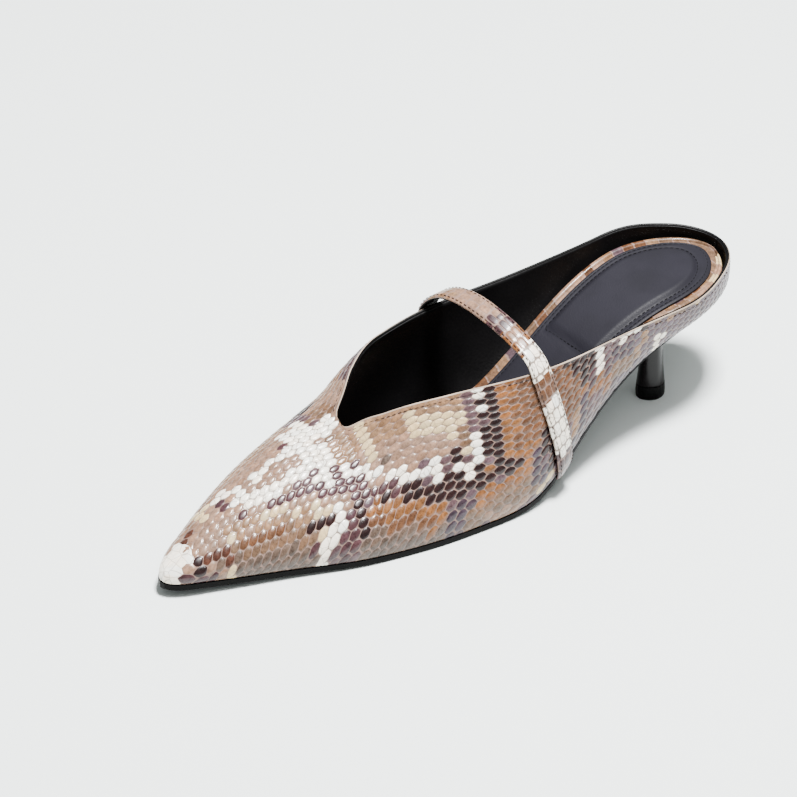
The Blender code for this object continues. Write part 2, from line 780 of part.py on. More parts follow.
def smooth_run(values, count):
    """A smooth curve through the given points, read at even steps."""
    values = np.array(values)
    steps = np.concatenate(([0], np.cumsum(np.linalg.norm(np.diff(values, axis=0), axis=1))))
    bends = [Table.bend(steps, values[:, k]) for k in range(values.shape[1])]
    result = []
    for place in np.linspace(0, steps[-1], count):
        i = min(int(np.searchsorted(steps, place, side="right")) - 1, len(steps) - 2)
        gap = steps[i + 1] - steps[i]
        a = (steps[i + 1] - place) / gap
        b = 1 - a
        row = []
        for k, bend in enumerate(bends):
            curve = (a ** 3 - a) * bend[i] + (b ** 3 - b) * bend[i + 1]
            row.append(a * values[i, k] + b * values[i + 1, k] + curve * gap * gap / 6)
        result.append(row)
    return np.array(result)


def build_strap():
    count = 60
    rear, centre, front = (smooth_run(strap_rail(share), count) for share in (-1, 0, 1))
    rows = []
    for i in range(count):
        along = centre[min(i + 1, count - 1)] - centre[max(i - 1, 0)]
        across = front[i] - rear[i]
        facing = np.cross(across, along)
        facing = facing / np.linalg.norm(facing)
        lip = facing * STRAP_THICKNESS * STRAP_LIP
        top = facing * STRAP_THICKNESS
        rows.append((
            rear[i], centre[i], front[i], front[i] + lip,
            front[i] * STRAP_FLAT + centre[i] * (1 - STRAP_FLAT) + top,
            centre[i] + top,
            rear[i] * STRAP_FLAT + centre[i] * (1 - STRAP_FLAT) + top,
            rear[i] + lip,
        ))
    bm = bmesh.new()
    closed_rows(bm, rows)
    return new_object("strap", bm, EMBOSSED_LEATHER)


def footprint_centre():
    """Middle of the shoe's plan box, so that the model's origin lies under it."""
    across = []
    along = []
    for side in (LATERAL, MEDIAL):
        for u in np.linspace(0, 3, 121):
            for share in np.linspace(0, 1, 13):
                point = wall_point(side, u, share)
                across.append(point[0])
                along.append(point[1])
    return (max(across) + min(across)) / 2, (max(along) + min(along)) / 2


for old in list(bpy.data.objects):
    bpy.data.objects.remove(old, do_unlink=True)

FOOTPRINT = footprint_centre()

build_outsole()
build_heel()
build_top_piece()
build_upper()
build_insole()
build_sock()
build_strap()
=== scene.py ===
# Looks of a pointed kitten-heel mule for the left foot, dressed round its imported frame.
# Metres, +Z up. The toe points to -Y and the wearer's left, the outer side, is +X.
import math

import bmesh
import bpy
import numpy as np
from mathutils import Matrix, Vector

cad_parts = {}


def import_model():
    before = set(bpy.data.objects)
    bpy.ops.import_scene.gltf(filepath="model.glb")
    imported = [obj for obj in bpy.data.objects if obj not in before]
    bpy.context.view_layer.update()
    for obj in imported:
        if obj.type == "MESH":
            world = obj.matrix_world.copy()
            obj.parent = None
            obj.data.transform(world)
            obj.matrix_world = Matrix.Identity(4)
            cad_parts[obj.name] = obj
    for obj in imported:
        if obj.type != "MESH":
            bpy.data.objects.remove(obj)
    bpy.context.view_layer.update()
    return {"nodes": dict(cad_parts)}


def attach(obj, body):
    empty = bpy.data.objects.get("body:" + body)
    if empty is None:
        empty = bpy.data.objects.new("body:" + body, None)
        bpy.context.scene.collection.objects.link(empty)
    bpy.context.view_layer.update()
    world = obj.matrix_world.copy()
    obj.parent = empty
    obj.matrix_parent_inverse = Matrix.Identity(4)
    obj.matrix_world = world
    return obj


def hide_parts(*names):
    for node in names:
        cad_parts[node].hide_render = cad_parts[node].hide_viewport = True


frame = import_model()

# Driving sizes
SHOE_LENGTH = 0.270
BALL_HALF_WIDTH = 0.040
HEEL_RISE = 0.045
TOE_SPRING = 0.0035
TOPLINE_HEIGHT = 0.056
INSTEP_HEIGHT = 0.066
CLEARANCE = 0.0003

# Upper
UPPER_WALL = 0.0016
HEEL_TURN = 0.042
HEEL_SPLIT = 0.0126
TOE_TURN = 0.256
THROAT_POINT = 0.1825
THROAT_START = 0.150
THROAT_BOW_LATERAL = 0.38
THROAT_BOW_MEDIAL = 0.22
RIDGE_BLEND = 0.014
FEATHER_BACK = 0.0062
FEATHER_FULLNESS = 2.15
RIM_BACK = 0.0028
RIM_FULLNESS = 1.72
HEEL_BACK_SIDE = -0.0026
TOE_TIP_SIDE = 0.0029
TOE_TIP_ROUND = 0.0042

# Outsole
OUTSOLE_THICKNESS = 0.0028
WAIST_THICKNESS = 0.0022
OUTSOLE_MARGIN = 0.0004
SEAT_TUCK = 0.0016
SEAT_TUCK_START = 0.0672
SEAT_TUCK_FULL = 0.0252
WAIST_START = 0.1296
WAIST_FULL = 0.0756

# Heel and top piece
HEEL_STATION = 0.0400
HEEL_SIDE = 0.0040
HEEL_BASE_LENGTH = 0.0124
HEEL_BASE_WIDTH = 0.0114
HEEL_SEAT_LENGTH = 0.0260
HEEL_SEAT_WIDTH = 0.0240
TOP_PIECE_HEIGHT = 0.0060

# Insole and sock
INSOLE_FRONT = 0.246
INSOLE_BACK = 0.0058
INSOLE_FULLNESS = 2.0
INSOLE_GAP = 0.0008
FOOTBED_LIFT = 0.0545
SOCK_THICKNESS = 0.0010
SOCK_INSET = 0.0024
SOCK_FRONT = 0.238
PAD_RAISE = 0.0013
PAD_INSET = 0.0078
PAD_BACK = 0.0165
PAD_FRONT = 0.0800
PAD_SOFT_EDGE = 0.0026

# Strap
STRAP_WIDTH = 0.0086
STRAP_THICKNESS = 0.0018
STRAP_PITCH = 18.0
STRAP_GAP = 0.0005
STRAP_FOOT_LIFT = 0.0006

# Camera: its angles in degrees, its distance, and the place of the shoe it looks at
CAMERA_AZIMUTH = 55.53
CAMERA_ELEVATION = 36.24
CAMERA_DISTANCE = 2.00198
CAMERA_LENS = 230.57
CAMERA_TARGET = (-0.02699, 0.14042, 0.020)

# Room
ROOM_TONE = (0.95, 1.0, 0.98)
ROOM_STRENGTH = 0.50
KEY_PLACE = (0.16, 0.16, 1.60)
KEY_SIZE = (0.32, 0.32)
KEY_POWER = 122.0
SIDE_LIGHT_PLACE = (0.66, 0.10, 1.44)
SIDE_LIGHT_SIZE = (0.10, 0.55)
SIDE_LIGHT_POWER = 6.0
FLOOR_TONE = (0.76, 0.80, 0.79)
FLOOR_REACH = 3.0
FLOOR_ROUGHNESS = 0.9

# Scales of the embossed leather: their pitch along the shoe and up the wall, the rise over which
# they get narrower, and how much smaller they are at the heel
SCALE_LENGTH = 0.0042
SCALE_GIRTH = 0.0046
SCALE_GIRTH_EASE = 0.125
SCALE_HEEL_SHRINK = 0.30
SHRINK_RUN = 0.045

# Forward lean of the columns at the foot of the wall, as a share of its girth, and where it holds
SWEEP = 0.16
SWEEP_BEND = 1.5
SWEEP_BACK = 0.055
SWEEP_FRONT = 0.266
SWEEP_FADE = 0.050

# Relief of a scale, and the steps that its mesh takes across and up
EDGE_FADE = 0.0016
SCALE_ROUNDNESS = 3.4
SCALE_DOME = 0.00010
GROOVE_DEPTH = 0.00026
GROOVE_START = 0.78
GROOVE_SHARE = 0.11
ZIGZAG = 0.145
ROW_TURN = 0.045
ROW_EVEN_BACK = 0.050
ROW_EVEN_RUN = 0.080
TOE_PLAIN = 0.264
TOE_PLAIN_RUN = 0.008
COLUMN_STEPS = (0.0, 0.08, 0.27, 0.5, 0.73, 0.92)
ROW_STEPS = (0.0, 0.08, 0.25, 0.42, 0.5, 0.58, 0.75, 0.92)
SEED = 7
LOT_COLUMNS = 80
LOT_ROWS = 60
GIRTH_STEPS = 40
MERGE = 2e-7

# Colour and surface inside a scale: sizes of its noises, and how far each one goes
WOBBLE_SIZE = 420.0
WOBBLE = 0.28
STREAK_SIZE = 900.0
CLOUD_SIZE = 330.0
CRACK_SIZE = 260.0
NOISE_LOW = 0.30
NOISE_HIGH = 0.72
CLOUD_SHADE = (0.66, 1.24)
STREAK_SHADE = (0.70, 1.20)
PALE_EVENNESS = 0.75
CRACK_WIDTH = 0.05
CRACK_COVER = 0.55
GROOVE_COVER = 0.86
SCALE_GLOSS = (0.24, 0.36)
GROOVE_DULLNESS = 0.22
CLOUD_RELIEF = 0.35
PORE_SIZE = 3100.0
PORE_RELIEF = 0.4

# Edges, lining and stitches
EDGE_FOLD = (
    (0.00012, 0.00022), (-0.00020, 0.00052), (-0.00070, 0.00050), (-0.00110, 0.00020), (-0.00118, -0.0008),
)
SKIN_THICKNESS = 0.0011
LINING_THICKNESS = 0.0005
LINING_CREASE = 0.00008
LINING_ROWS = 25
STITCH_BELOW = 0.0015
STITCH_PITCH = 0.0023
STITCH_LENGTH = 0.0017
STITCH_THICKNESS = 0.00034
SEAM_DEPTH = 0.00035
SEAM_WIDTH = 0.0006
SEAM_OFFSET = 0.0002
SOCK_STITCH_INSET = 0.0016
SOCK_STITCH = (0.0022, 0.0016, 0.00028)
SOCK_SEAM_SHARE = 0.6
SOCK_SEAM_WIDTH = 0.0005
SOCK_EDGE_DROP = 0.35
SOCK_EDGE_ROUND = 0.0007
PAD_FRONT_SLANT = 0.0012
INSOLE_RIM = (
    (0.0040, 0.0014), (0.0027, 0.0012), (0.0023, 0.0005), (0.0018, 0.00022), (0.0011, 0.0002),
    (0.0005, 0.0005), (0.0002, 0.0011), (0.0001, 0.0020), (0.0001, 0.0034),
)
STRAP_STEPS = 241
STRAP_SCALE = 0.0052
STRAP_STITCH = 0.78
STRAP_ROWS = 1.5
STRAP_ROW_START = 8
STRAP_RELIEF = 0.30
STRAP_RELIEF_DROP = 0.00005
STRAP_RELIEF_FADE = 0.22
STRAP_SEAM_DEPTH = 0.00018
STRAP_SEAM_WIDTH = 0.05
STRAP_SHOULDER = 0.52
STRAP_CROWN = 0.48
STRAP_UNDER = 0.3
STRIP_PITCH = 0.0050
STRIP_START = 0.2

# Tones in linear light, and how pale each is: 0 to 1, and 2 for a skin with cracks and no grooves
TONES = {
    "shell": ((0.84, 0.78, 0.68), 2.0),
    "white": ((0.84, 0.78, 0.68), 1.0),
    "cream": ((0.50, 0.37, 0.20), 0.7),
    "rose_tan": ((0.220, 0.128, 0.084), 0.15),
    "tan": ((0.200, 0.110, 0.058), 0.1),
    "tan_brown": ((0.118, 0.065, 0.037), 0.0),
    "orange": ((0.160, 0.062, 0.020), 0.0),
    "orange_brown": ((0.096, 0.040, 0.018), 0.0),
    "grey_brown": ((0.082, 0.054, 0.040), 0.0),
    "rust": ((0.055, 0.019, 0.011), 0.0),
    "maroon": ((0.012, 0.0035, 0.0035), 0.0),
    "plum": ((0.045, 0.019, 0.022), 0.0),
    "slate_plum": ((0.036, 0.021, 0.030), 0.0),
    "mauve": ((0.075, 0.042, 0.047), 0.05),
    "grey_mauve": ((0.083, 0.055, 0.070), 0.1),
}
BASE_TONE = "mauve"
TONE_SPREAD = (0.30, 0.10)
PALE_STEADINESS = 0.7
PATCH_RAGGED = 1.8
STRAP_TONE_RAGGED = 0.03
GROOVE_TONE = (0.20, 0.125, 0.100)
CRACK_TONE = (0.100, 0.062, 0.045)
EDGE_TONE = (0.36, 0.28, 0.22)
SOCK_TONE = (0.0098, 0.0092, 0.0128)
THREAD_TONE = (0.020, 0.012, 0.011)
INSOLE_TONES = ("tan", "tan_brown", "rose_tan", "orange_brown", "cream", "mauve", "tan_brown", "rose_tan")
SOCK_TRIM = 0.0020

# Strap: share of its length from its outer foot up to which each tone runs
STRAP_TONES = (
    (0.07, "plum"), (0.22, "white"), (0.27, "orange_brown"), (0.345, "white"), (0.40, "orange"),
    (0.46, "plum"), (0.58, "rose_tan"), (0.66, "tan"), (0.75, "mauve"), (0.85, "tan_brown"), (1.0, "plum"),
)

# Patches of tone: tone, then station and rise up the wall of both ends of a rounded stroke, and
# half its width, all in millimetres. A later row lies over an earlier one.
# A few lateral rows below are painted light, highlights or the strap's shadow, and are marked where they
# stand.
LATERAL_PATCHES = (
    ("rose_tan", 262, 12, 190, 44, 20),
    ("grey_mauve", 100, 2, 0, 6, 18),
    ("mauve", 122, 10, 84, 12, 9),
    ("grey_brown", 243, 6, 217, 7, 7.5),
    ("tan_brown", 240, 13, 216, 15, 4),
    ("orange_brown", 237, 15.5, 222, 17.5, 2),
    ("tan", 242, 21, 214, 23, 3),
    ("rose_tan", 240, 26, 222, 29, 3),
    ("cream", 247, 17, 243, 18, 2),
    ("cream", 227, 24, 217, 26, 2.6),
    ("cream", 246, 11, 247, 0, 1.8),
    ("maroon", 258, 9, 257, 4, 2.6),
    ("rust", 248, 12.5, 248, 9.5, 2.8),
    ("rust", 252, 10, 252, 9, 2.2),
    ("plum", 262, 1.5, 254, 2, 2),
    ("plum", 234, 26, 233, 26, 2.2),
    ("plum", 223, 31, 190, 32, 2.6),
    ("plum", 196, 44, 188, 36, 5),
    ("mauve", 214, 36, 206, 34, 2.4),
    ("mauve", 204, 40, 200, 39, 2),
    ("grey_brown", 188, 42, 184, 44, 2.2),
    ("tan_brown", 187, 52, 180, 48, 3.5),
    ("grey_brown", 193, 7, 170, 4, 9),
    ("maroon", 184, 24, 158, 19.5, 4.2),
    ("maroon", 158, 22, 144, 18.5, 5),
    ("plum", 190, 28, 177, 26.5, 2.8),
    ("orange_brown", 188, 14, 168, 10.5, 3.4),
    ("orange", 189, 19.5, 170, 15.5, 3.2),
    ("maroon", 194, 20, 196, 14, 3),
    ("plum", 199, 19, 205, 3, 3.6),
    ("plum", 214, 8, 215, 4, 2.2),
    ("cream", 206, 24, 209, 14, 2.2),
    ("white", 199, 25, 204, 16, 2.7),
    ("white", 204, 16, 210, 10, 2.3),
    ("white", 210, 10, 213, 1, 2.3),
    ("maroon", 210.5, 17.5, 210.5, 16, 1.9),
    ("maroon", 205.5, 20.5, 205.5, 19.5, 1.6),
    ("orange", 164.5, 13, 169, 3, 2.1),
    ("slate_plum", 155, 11, 163, 1, 4.2),
    ("tan", 184, 46, 150, 50, 7),
    ("tan", 176, 53, 146, 54, 5),
    ("rose_tan", 180, 38, 152, 38, 6),
    # Partly painted highlight: this cream zone holds some cream scales and also paints the glossy highlight
    # on the tan blotch.
    ("cream", 160, 47, 148, 43, 5.2),
    ("tan_brown", 147.5, 35, 147, 39, 2.6),
    ("tan", 145, 50, 143, 56, 2.6),
    ("cream", 178, 56, 180, 41, 2),
    ("grey_brown", 176.5, 38, 177.5, 35.5, 2),
    ("white", 190, 37.5, 168, 28, 2.4),
    ("white", 162.5, 31, 162.5, 30.5, 2.1),
    ("white", 159.5, 25.5, 159.5, 25, 2.1),
    ("white", 153, 28.5, 149, 26, 2.3),
    ("white", 149, 26, 149.5, 22.5, 2.2),
    ("cream", 149, 31.5, 149, 31, 2),
    ("maroon", 152.5, 32.5, 152.5, 32, 1.8),
    ("white", 144, 28, 141.5, 37, 2.3),
    ("white", 139, 44.5, 137, 56, 2.3),
    ("maroon", 140.6, 41, 140.8, 39.5, 1.9),
    ("maroon", 131, 56, 137, 29, 4.4),
    ("maroon", 145, 22.5, 125, 20.5, 4),
    ("orange", 141, 23.5, 141, 23, 1.5),
    ("tan_brown", 152, 5, 126, 9, 5.2),
    ("rose_tan", 146, 2.5, 128, 3, 2.4),
    ("orange", 149, 13, 126, 17.5, 2.6),
    ("orange_brown", 118, 52, 121, 30, 8.4),
    ("orange", 125.5, 56, 131, 28, 2.6),
    ("orange", 130, 26, 121, 25, 2.2),
    ("slate_plum", 121, 18, 118, 3, 3.8),
    # Painted shadow: this dark maroon stroke paints the strap's shadow on the wall just in front of it.
    ("maroon", 114, 27, 114, 10, 2.2),
    ("cream", 116, 8, 118, 4, 1.6),
    ("orange_brown", 105, 40, 98, 24, 8.5),
    ("orange", 104, 46, 99, 41, 2.4),
    ("orange", 93.5, 27, 92, 20, 2.3),
    ("tan", 100, 22, 101, 12, 1.9),
    ("maroon", 97, 43, 90, 30, 4),
    ("slate_plum", 92, 22, 101, 5, 2.8),
    ("plum", 88, 26, 81, 22, 3.4),
    ("orange", 86, 19, 81, 13, 2.6),
    ("white", 84, 33, 85.5, 25, 2),
    ("white", 87, 36, 77, 30, 1.7),
    ("tan_brown", 76, 16, 71, 10, 3.2),
    ("slate_plum", 77, 24, 70, 18, 2.6),
    ("white", 72, 26, 66, 23, 1.9),
    ("maroon", 62.5, 23, 62.5, 21, 1.6),
    ("tan", 66, 13, 62, 15, 2.6),
    ("tan", 57, 21, 49, 18.5, 2.2),
    # Painted highlight: this white streak paints a glint of light on the quarter.
    ("white", 54, 11, 57, 5, 1.7),
    ("tan_brown", 45, 17, 38, 16, 1.9),
    ("cream", 34, 15, 30, 14, 1.7),
    ("white", 222, 33, 209, 39, 2.1),
    ("white", 208, 41, 199, 43.5, 2.3),
    ("white", 197, 41, 193, 45, 2.8),
    ("white", 200, 37, 200, 34.5, 2.9),
    ("white", 201, 48, 196, 51, 3.4),
    ("white", 232, 34, 228, 31.5, 3),
    ("shell", 270, 4, 265, 12, 4.6),
)
MEDIAL_PATCHES = (
    ("rose_tan", 262, 12, 190, 44, 20),
    ("grey_mauve", 96, 2, 0, 6, 18),
    ("tan", 222, 12, 198, 22, 12),
    ("tan_brown", 216, 9, 202, 12, 7),
    ("white", 236, 3, 192, 3, 2.2),
    ("white", 189, 5, 190, 24, 2.5),
    ("white", 190, 24, 196, 34, 2.2),
    ("maroon", 182, 4, 185, 34, 4),
    ("orange", 171, 24, 168, 40, 6.5),
    ("orange_brown", 172, 8, 168, 16, 7),
    ("maroon", 158, 6, 154, 56, 4),
    ("white", 147, 16, 147, 56, 2.2),
    ("tan", 134, 46, 134, 18, 8.5),
    ("white", 134, 6, 122, 8, 2.2),
    ("maroon", 121, 50, 122, 14, 3.6),
    ("orange_brown", 108, 42, 104, 16, 8),
    ("orange", 110, 40, 108, 22, 4),
    ("white", 94, 40, 90, 26, 2),
    ("plum", 84, 28, 76, 12, 4),
    ("tan", 66, 20, 60, 12, 3),
    ("cream", 74, 28, 68, 24, 1.8),
    ("cream", 40, 12, 32, 10, 1.8),
    ("mauve", 194, 34, 188, 46, 4),
    ("tan_brown", 187, 42, 185, 48, 3),
    ("plum", 205, 41, 201, 43, 2),
    ("plum", 236, 28, 234, 28, 2),
    ("rust", 258, 12, 254, 16, 1.8),
    ("cream", 246, 15, 243, 20, 2.3),
    ("white", 236, 23, 230, 33, 2.1),
    ("white", 232, 35, 230, 34, 2.8),
    ("white", 221, 37.5, 212, 43, 2),
    ("white", 208, 44, 202, 47.5, 2.2),
    ("white", 203, 38, 199, 41, 2),
    ("white", 195, 40, 196, 49.5, 4),
    ("white", 188, 51, 187, 56, 3),
    ("shell", 270, 4, 265, 12, 5.4),
)

LATERAL = 1
MEDIAL = -1
PATCHES = {LATERAL: LATERAL_PATCHES, MEDIAL: MEDIAL_PATCHES}


class Table:
    """Sections of the shoe: the first column is the station, a share of the shoe's length from
    the back, and each other column is read by name through a smooth curve."""

    def __init__(self, columns, rows):
        self.columns = columns
        self.rows = np.array(rows, float)
        self.bends = {}
        for index, name in enumerate(columns[1:], 1):
            self.bends[name] = self.bend(self.rows[:, 0], self.rows[:, index])

    @staticmethod
    def bend(stations, values):
        """Second derivatives of the natural cubic curve through the rows."""
        count = len(stations)
        matrix = np.eye(count)
        right = np.zeros(count)
        for i in range(1, count - 1):
            before = stations[i] - stations[i - 1]
            after = stations[i + 1] - stations[i]
            matrix[i, i - 1:i + 2] = before, 2 * (before + after), after
            slope_after = (values[i + 1] - values[i]) / after
            slope_before = (values[i] - values[i - 1]) / before
            right[i] = 6 * (slope_after - slope_before)
        return np.linalg.solve(matrix, right)

    def read(self, name, distance):
        """Value of a column at a distance from the back of the shoe, in metres."""
        stations = self.rows[:, 0]
        values = self.rows[:, self.columns.index(name)]
        bends = self.bends[name]
        share = min(max(distance / SHOE_LENGTH, stations[0]), stations[-1])
        i = min(int(np.searchsorted(stations, share, side="right")) - 1, len(stations) - 2)
        gap = stations[i + 1] - stations[i]
        a = (stations[i + 1] - share) / gap
        b = 1 - a
        curve = (a ** 3 - a) * bends[i] + (b ** 3 - b) * bends[i + 1]
        return a * values[i] + b * values[i + 1] + curve * gap * gap / 6


# Feather edge: half widths as shares of BALL_HALF_WIDTH, rises of HEEL_RISE, spring of TOE_SPRING
FEATHER = Table(
    ("station", "lateral", "medial", "rise_lateral", "rise_medial", "spring"),
    (
        (0.000, 0.585, 0.590, 0.985, 0.985, 0.00),
        (0.074, 0.585, 0.590, 0.960, 0.965, 0.00),
        (0.156, 0.585, 0.590, 0.870, 0.890, 0.00),
        (0.259, 0.625, 0.480, 0.645, 0.725, 0.00),
        (0.359, 0.790, 0.390, 0.275, 0.425, 0.00),
        (0.444, 0.985, 0.475, 0.046, 0.140, 0.00),
        (0.537, 1.010, 0.700, 0.000, 0.010, 0.00),
        (0.611, 0.975, 0.840, 0.000, 0.000, 0.00),
        (0.674, 0.905, 0.885, 0.000, 0.000, 0.02),
        (0.741, 0.798, 0.812, 0.000, 0.000, 0.14),
        (0.815, 0.612, 0.645, 0.000, 0.000, 0.31),
        (0.889, 0.442, 0.425, 0.000, 0.000, 0.52),
        (0.948, 0.305, 0.230, 0.000, 0.000, 0.72),
        (1.000, 0.190, 0.060, 0.000, 0.000, 1.00),
    ),
)

# Wall: lean of its foot from level in degrees, and how far its foot and crown curves reach,
# as shares of BALL_HALF_WIDTH
WALL = Table(
    ("station", "lean_lateral", "lean_medial", "foot_lateral", "foot_medial",
     "crown_lateral", "crown_medial"),
    (
        (0.000, 20, 20, 0.14, 0.14, 0.22, 0.22),
        (0.156, 22, 22, 0.16, 0.16, 0.25, 0.25),
        (0.259, 34, 28, 0.24, 0.22, 0.30, 0.30),
        (0.359, 52, 36, 0.34, 0.32, 0.35, 0.35),
        (0.444, 64, 46, 0.38, 0.38, 0.37, 0.38),
        (0.537, 73, 62, 0.38, 0.45, 0.38, 0.44),
        (0.611, 77, 74, 0.38, 0.54, 0.39, 0.50),
        (0.676, 77, 78, 0.37, 0.57, 0.40, 0.54),
        (0.741, 73, 75, 0.31, 0.46, 0.37, 0.44),
        (0.815, 68, 70, 0.25, 0.38, 0.31, 0.37),
        (0.889, 62, 66, 0.19, 0.28, 0.23, 0.28),
        (0.948, 60, 62, 0.14, 0.18, 0.16, 0.18),
        (1.000, 78, 78, 0.10, 0.10, 0.16, 0.16),
    ),
)

# Crown: the line where the vamp's halves meet, and behind the throat the lines that the walls
# would rise to. Places as shares of BALL_HALF_WIDTH, heights of INSTEP_HEIGHT, and in degrees
# the fall of the surface away from the line, where 90 is an upright wall
CROWN = Table(
    ("station", "lateral", "medial", "height_lateral", "height_medial",
     "fall_lateral", "fall_medial"),
    (
        (0.000, 0.690, 0.715, 1.040, 1.060, 90, 90),
        (0.156, 0.690, 0.715, 1.040, 1.060, 90, 90),
        (0.259, 0.675, 0.690, 1.040, 1.060, 86, 86),
        (0.359, 0.650, 0.675, 1.035, 1.055, 76, 76),
        (0.444, 0.545, 0.640, 1.000, 1.025, 62, 57),
        (0.537, 0.290, 0.500, 0.890, 0.945, 46, 25),
        (0.593, 0.100, 0.350, 0.795, 0.855, 34, -4),
        (0.637, -0.045, 0.200, 0.685, 0.722, 26, -18),
        (0.676, -0.100, 0.100, 0.586, 0.586, 22, -22),
        (0.741, -0.100, 0.100, 0.530, 0.530, 17, -17),
        (0.815, -0.068, 0.068, 0.450, 0.450, 12, -12),
        (0.889, -0.015, 0.015, 0.345, 0.345, 8, -8),
        (0.948, 0.040, -0.040, 0.242, 0.242, 4, -4),
        (1.000, 0.072, -0.072, 0.130, 0.130, 0, 0),
    ),
)

# Topline: heights as shares of TOPLINE_HEIGHT
TOPLINE = Table(
    ("station", "lateral", "medial"),
    (
        (0.000, 1.005, 1.010),
        (0.037, 1.010, 1.060),
        (0.074, 1.015, 1.072),
        (0.156, 1.002, 1.045),
        (0.259, 0.998, 1.036),
        (0.359, 0.983, 1.024),
        (0.444, 0.972, 1.010),
        (0.537, 0.914, 0.982),
        (0.580, 0.868, 0.958),
    ),
)

# Footbed: half widths as shares of BALL_HALF_WIDTH, heights as shares of FOOTBED_LIFT
FOOTBED = Table(
    ("station", "lateral", "medial", "height_lateral", "height_medial"),
    (
        (0.000, 0.590, 0.600, 0.985, 0.985),
        (0.074, 0.590, 0.600, 1.000, 1.000),
        (0.156, 0.590, 0.600, 0.985, 0.985),
        (0.259, 0.590, 0.525, 0.815, 0.830),
        (0.359, 0.680, 0.440, 0.500, 0.555),
        (0.444, 0.820, 0.470, 0.235, 0.295),
        (0.537, 0.890, 0.660, 0.135, 0.150),
        (0.611, 0.860, 0.770, 0.118, 0.118),
        (0.674, 0.800, 0.780, 0.117, 0.117),
        (0.741, 0.680, 0.690, 0.122, 0.122),
        (0.815, 0.500, 0.520, 0.136, 0.136),
        (0.889, 0.330, 0.290, 0.152, 0.152),
        (0.948, 0.200, 0.120, 0.166, 0.166),
    ),
)

# Heel: level from the seat (0) to the top piece (1), how far its size goes from the base's size
# (0) to the seat's size (1), and how far the base's size is slimmed
HEEL_SECTIONS = (
    # level, spread to the seat, slimming of the base size
    (0.00, 1.00, 1.00),
    (0.06, 0.72, 0.95),
    (0.14, 0.36, 0.88),
    (0.24, 0.13, 0.82),
    (0.36, 0.03, 0.78),
    (0.52, 0.00, 0.77),
    (0.68, 0.00, 0.80),
    (0.84, 0.00, 0.87),
    (1.00, 0.00, 0.955),
)

# Strap over the instep: place across as a share of BALL_HALF_WIDTH, station as a share of
# SHOE_LENGTH, height as a share of INSTEP_HEIGHT
STRAP_ARCH = (
    # across, station, height
    (0.640, 0.4200, 0.895),
    (0.530, 0.4230, 0.935),
    (0.330, 0.4270, 0.980),
    (0.100, 0.4335, 1.020),
    (-0.150, 0.4400, 1.040),
    (-0.420, 0.4460, 1.020),
    (-0.610, 0.4510, 0.960),
)
STRAP_FOOT_LATERAL = 0.3960
STRAP_RIM_LATERAL = 0.4185
STRAP_RIM_MEDIAL = 0.4590
STRAP_FOOT_MEDIAL = 0.4800


def side_name(side):
    return "lateral" if side == LATERAL else "medial"


def station_at(u):
    """Distance from the back at u: 0 to 1 turns round the heel, 1 to 2 runs to the toe turn,
    and 2 to 3 turns round the toe."""
    if u < 1:
        return HEEL_TURN * (1 - math.sin((1 - u) * math.pi / 2))
    if u <= 2:
        return HEEL_TURN + (TOE_TURN - HEEL_TURN) * (u - 1)
    return TOE_TURN + (SHOE_LENGTH - TOE_TURN) * (u - 2)


def u_at(distance):
    return 1 + (distance - HEEL_TURN) / (TOE_TURN - HEEL_TURN)


def outward(side, u):
    """Plan direction that a section faces: across, and along towards the toe."""
    if u < 1:
        angle = (1 - u) * math.pi / 2
        return np.array((side * math.cos(angle), -math.sin(angle), 0.0))
    if u <= 2:
        return np.array((float(side), 0.0, 0.0))
    angle = (u - 2) * math.pi / 2
    return np.array((side * math.cos(angle), math.sin(angle), 0.0))


def heel_curve(side, u, half_width, back, fullness):
    """Rounded plan curve behind the heel turn."""
    angle = (1 - u) * math.pi / 2
    power = 2 / fullness
    across = half_width * max(math.cos(angle), 0.0) ** power
    along = HEEL_TURN - (HEEL_TURN - back) * math.sin(angle) ** power
    shift = HEEL_BACK_SIDE * math.sin(angle) ** 3
    return np.array((side * across + shift, along, 0.0))


def heel_blend(distance):
    """How far the two sides are made one round the heel: 1 at the back, 0 at HEEL_SPLIT."""
    share = min(max((HEEL_TURN - distance) / (HEEL_TURN - HEEL_SPLIT), 0.0), 1.0)
    return share * share * (3 - 2 * share)


def feather_height(side, distance):
    """Height of the feather edge at a distance from the back. Both sides meet at the back."""
    rise = FEATHER.read("rise_" + side_name(side), distance)
    other = FEATHER.read("rise_" + side_name(-side), distance)
    rise = max(rise + (other - rise) / 2 * heel_blend(distance), 0.0)
    spring = max(FEATHER.read("spring", distance), 0.0)
    return OUTSOLE_THICKNESS + CLEARANCE + rise * HEEL_RISE + spring * TOE_SPRING


def toe_plan(side, turn):
    """Plan curve of the feather edge round the toe, turn 0 to 1."""
    width = BALL_HALF_WIDTH * FEATHER.read(side_name(side), TOE_TURN)
    ahead = BALL_HALF_WIDTH * FEATHER.read(side_name(side), SHOE_LENGTH)
    start = np.array((side * width, TOE_TURN, 0.0))
    taper = np.array((side * (ahead - width), SHOE_LENGTH - TOE_TURN, 0.0))
    tip = np.array((TOE_TIP_SIDE, SHOE_LENGTH, 0.0))
    near = start + taper * 0.5
    round_off = tip + np.array((side * TOE_TIP_ROUND, 0.0, 0.0))
    return bezier((start, near, round_off, tip), turn)


def bezier(points, t):
    a, b, c, d = points
    return (1 - t) ** 3 * a + 3 * t * (1 - t) ** 2 * b + 3 * t * t * (1 - t) * c + t ** 3 * d


def feather_point(side, u):
    distance = station_at(u)
    if u < 1:
        width = BALL_HALF_WIDTH * FEATHER.read(side_name(side), HEEL_TURN)
        point = heel_curve(side, u, width, FEATHER_BACK, FEATHER_FULLNESS)
    elif u <= 2:
        width = BALL_HALF_WIDTH * FEATHER.read(side_name(side), distance)
        point = np.array((side * width, distance, 0.0))
    else:
        point = toe_plan(side, u - 2)
    point[2] = feather_height(side, point[1] if u < 1 else distance)
    return point


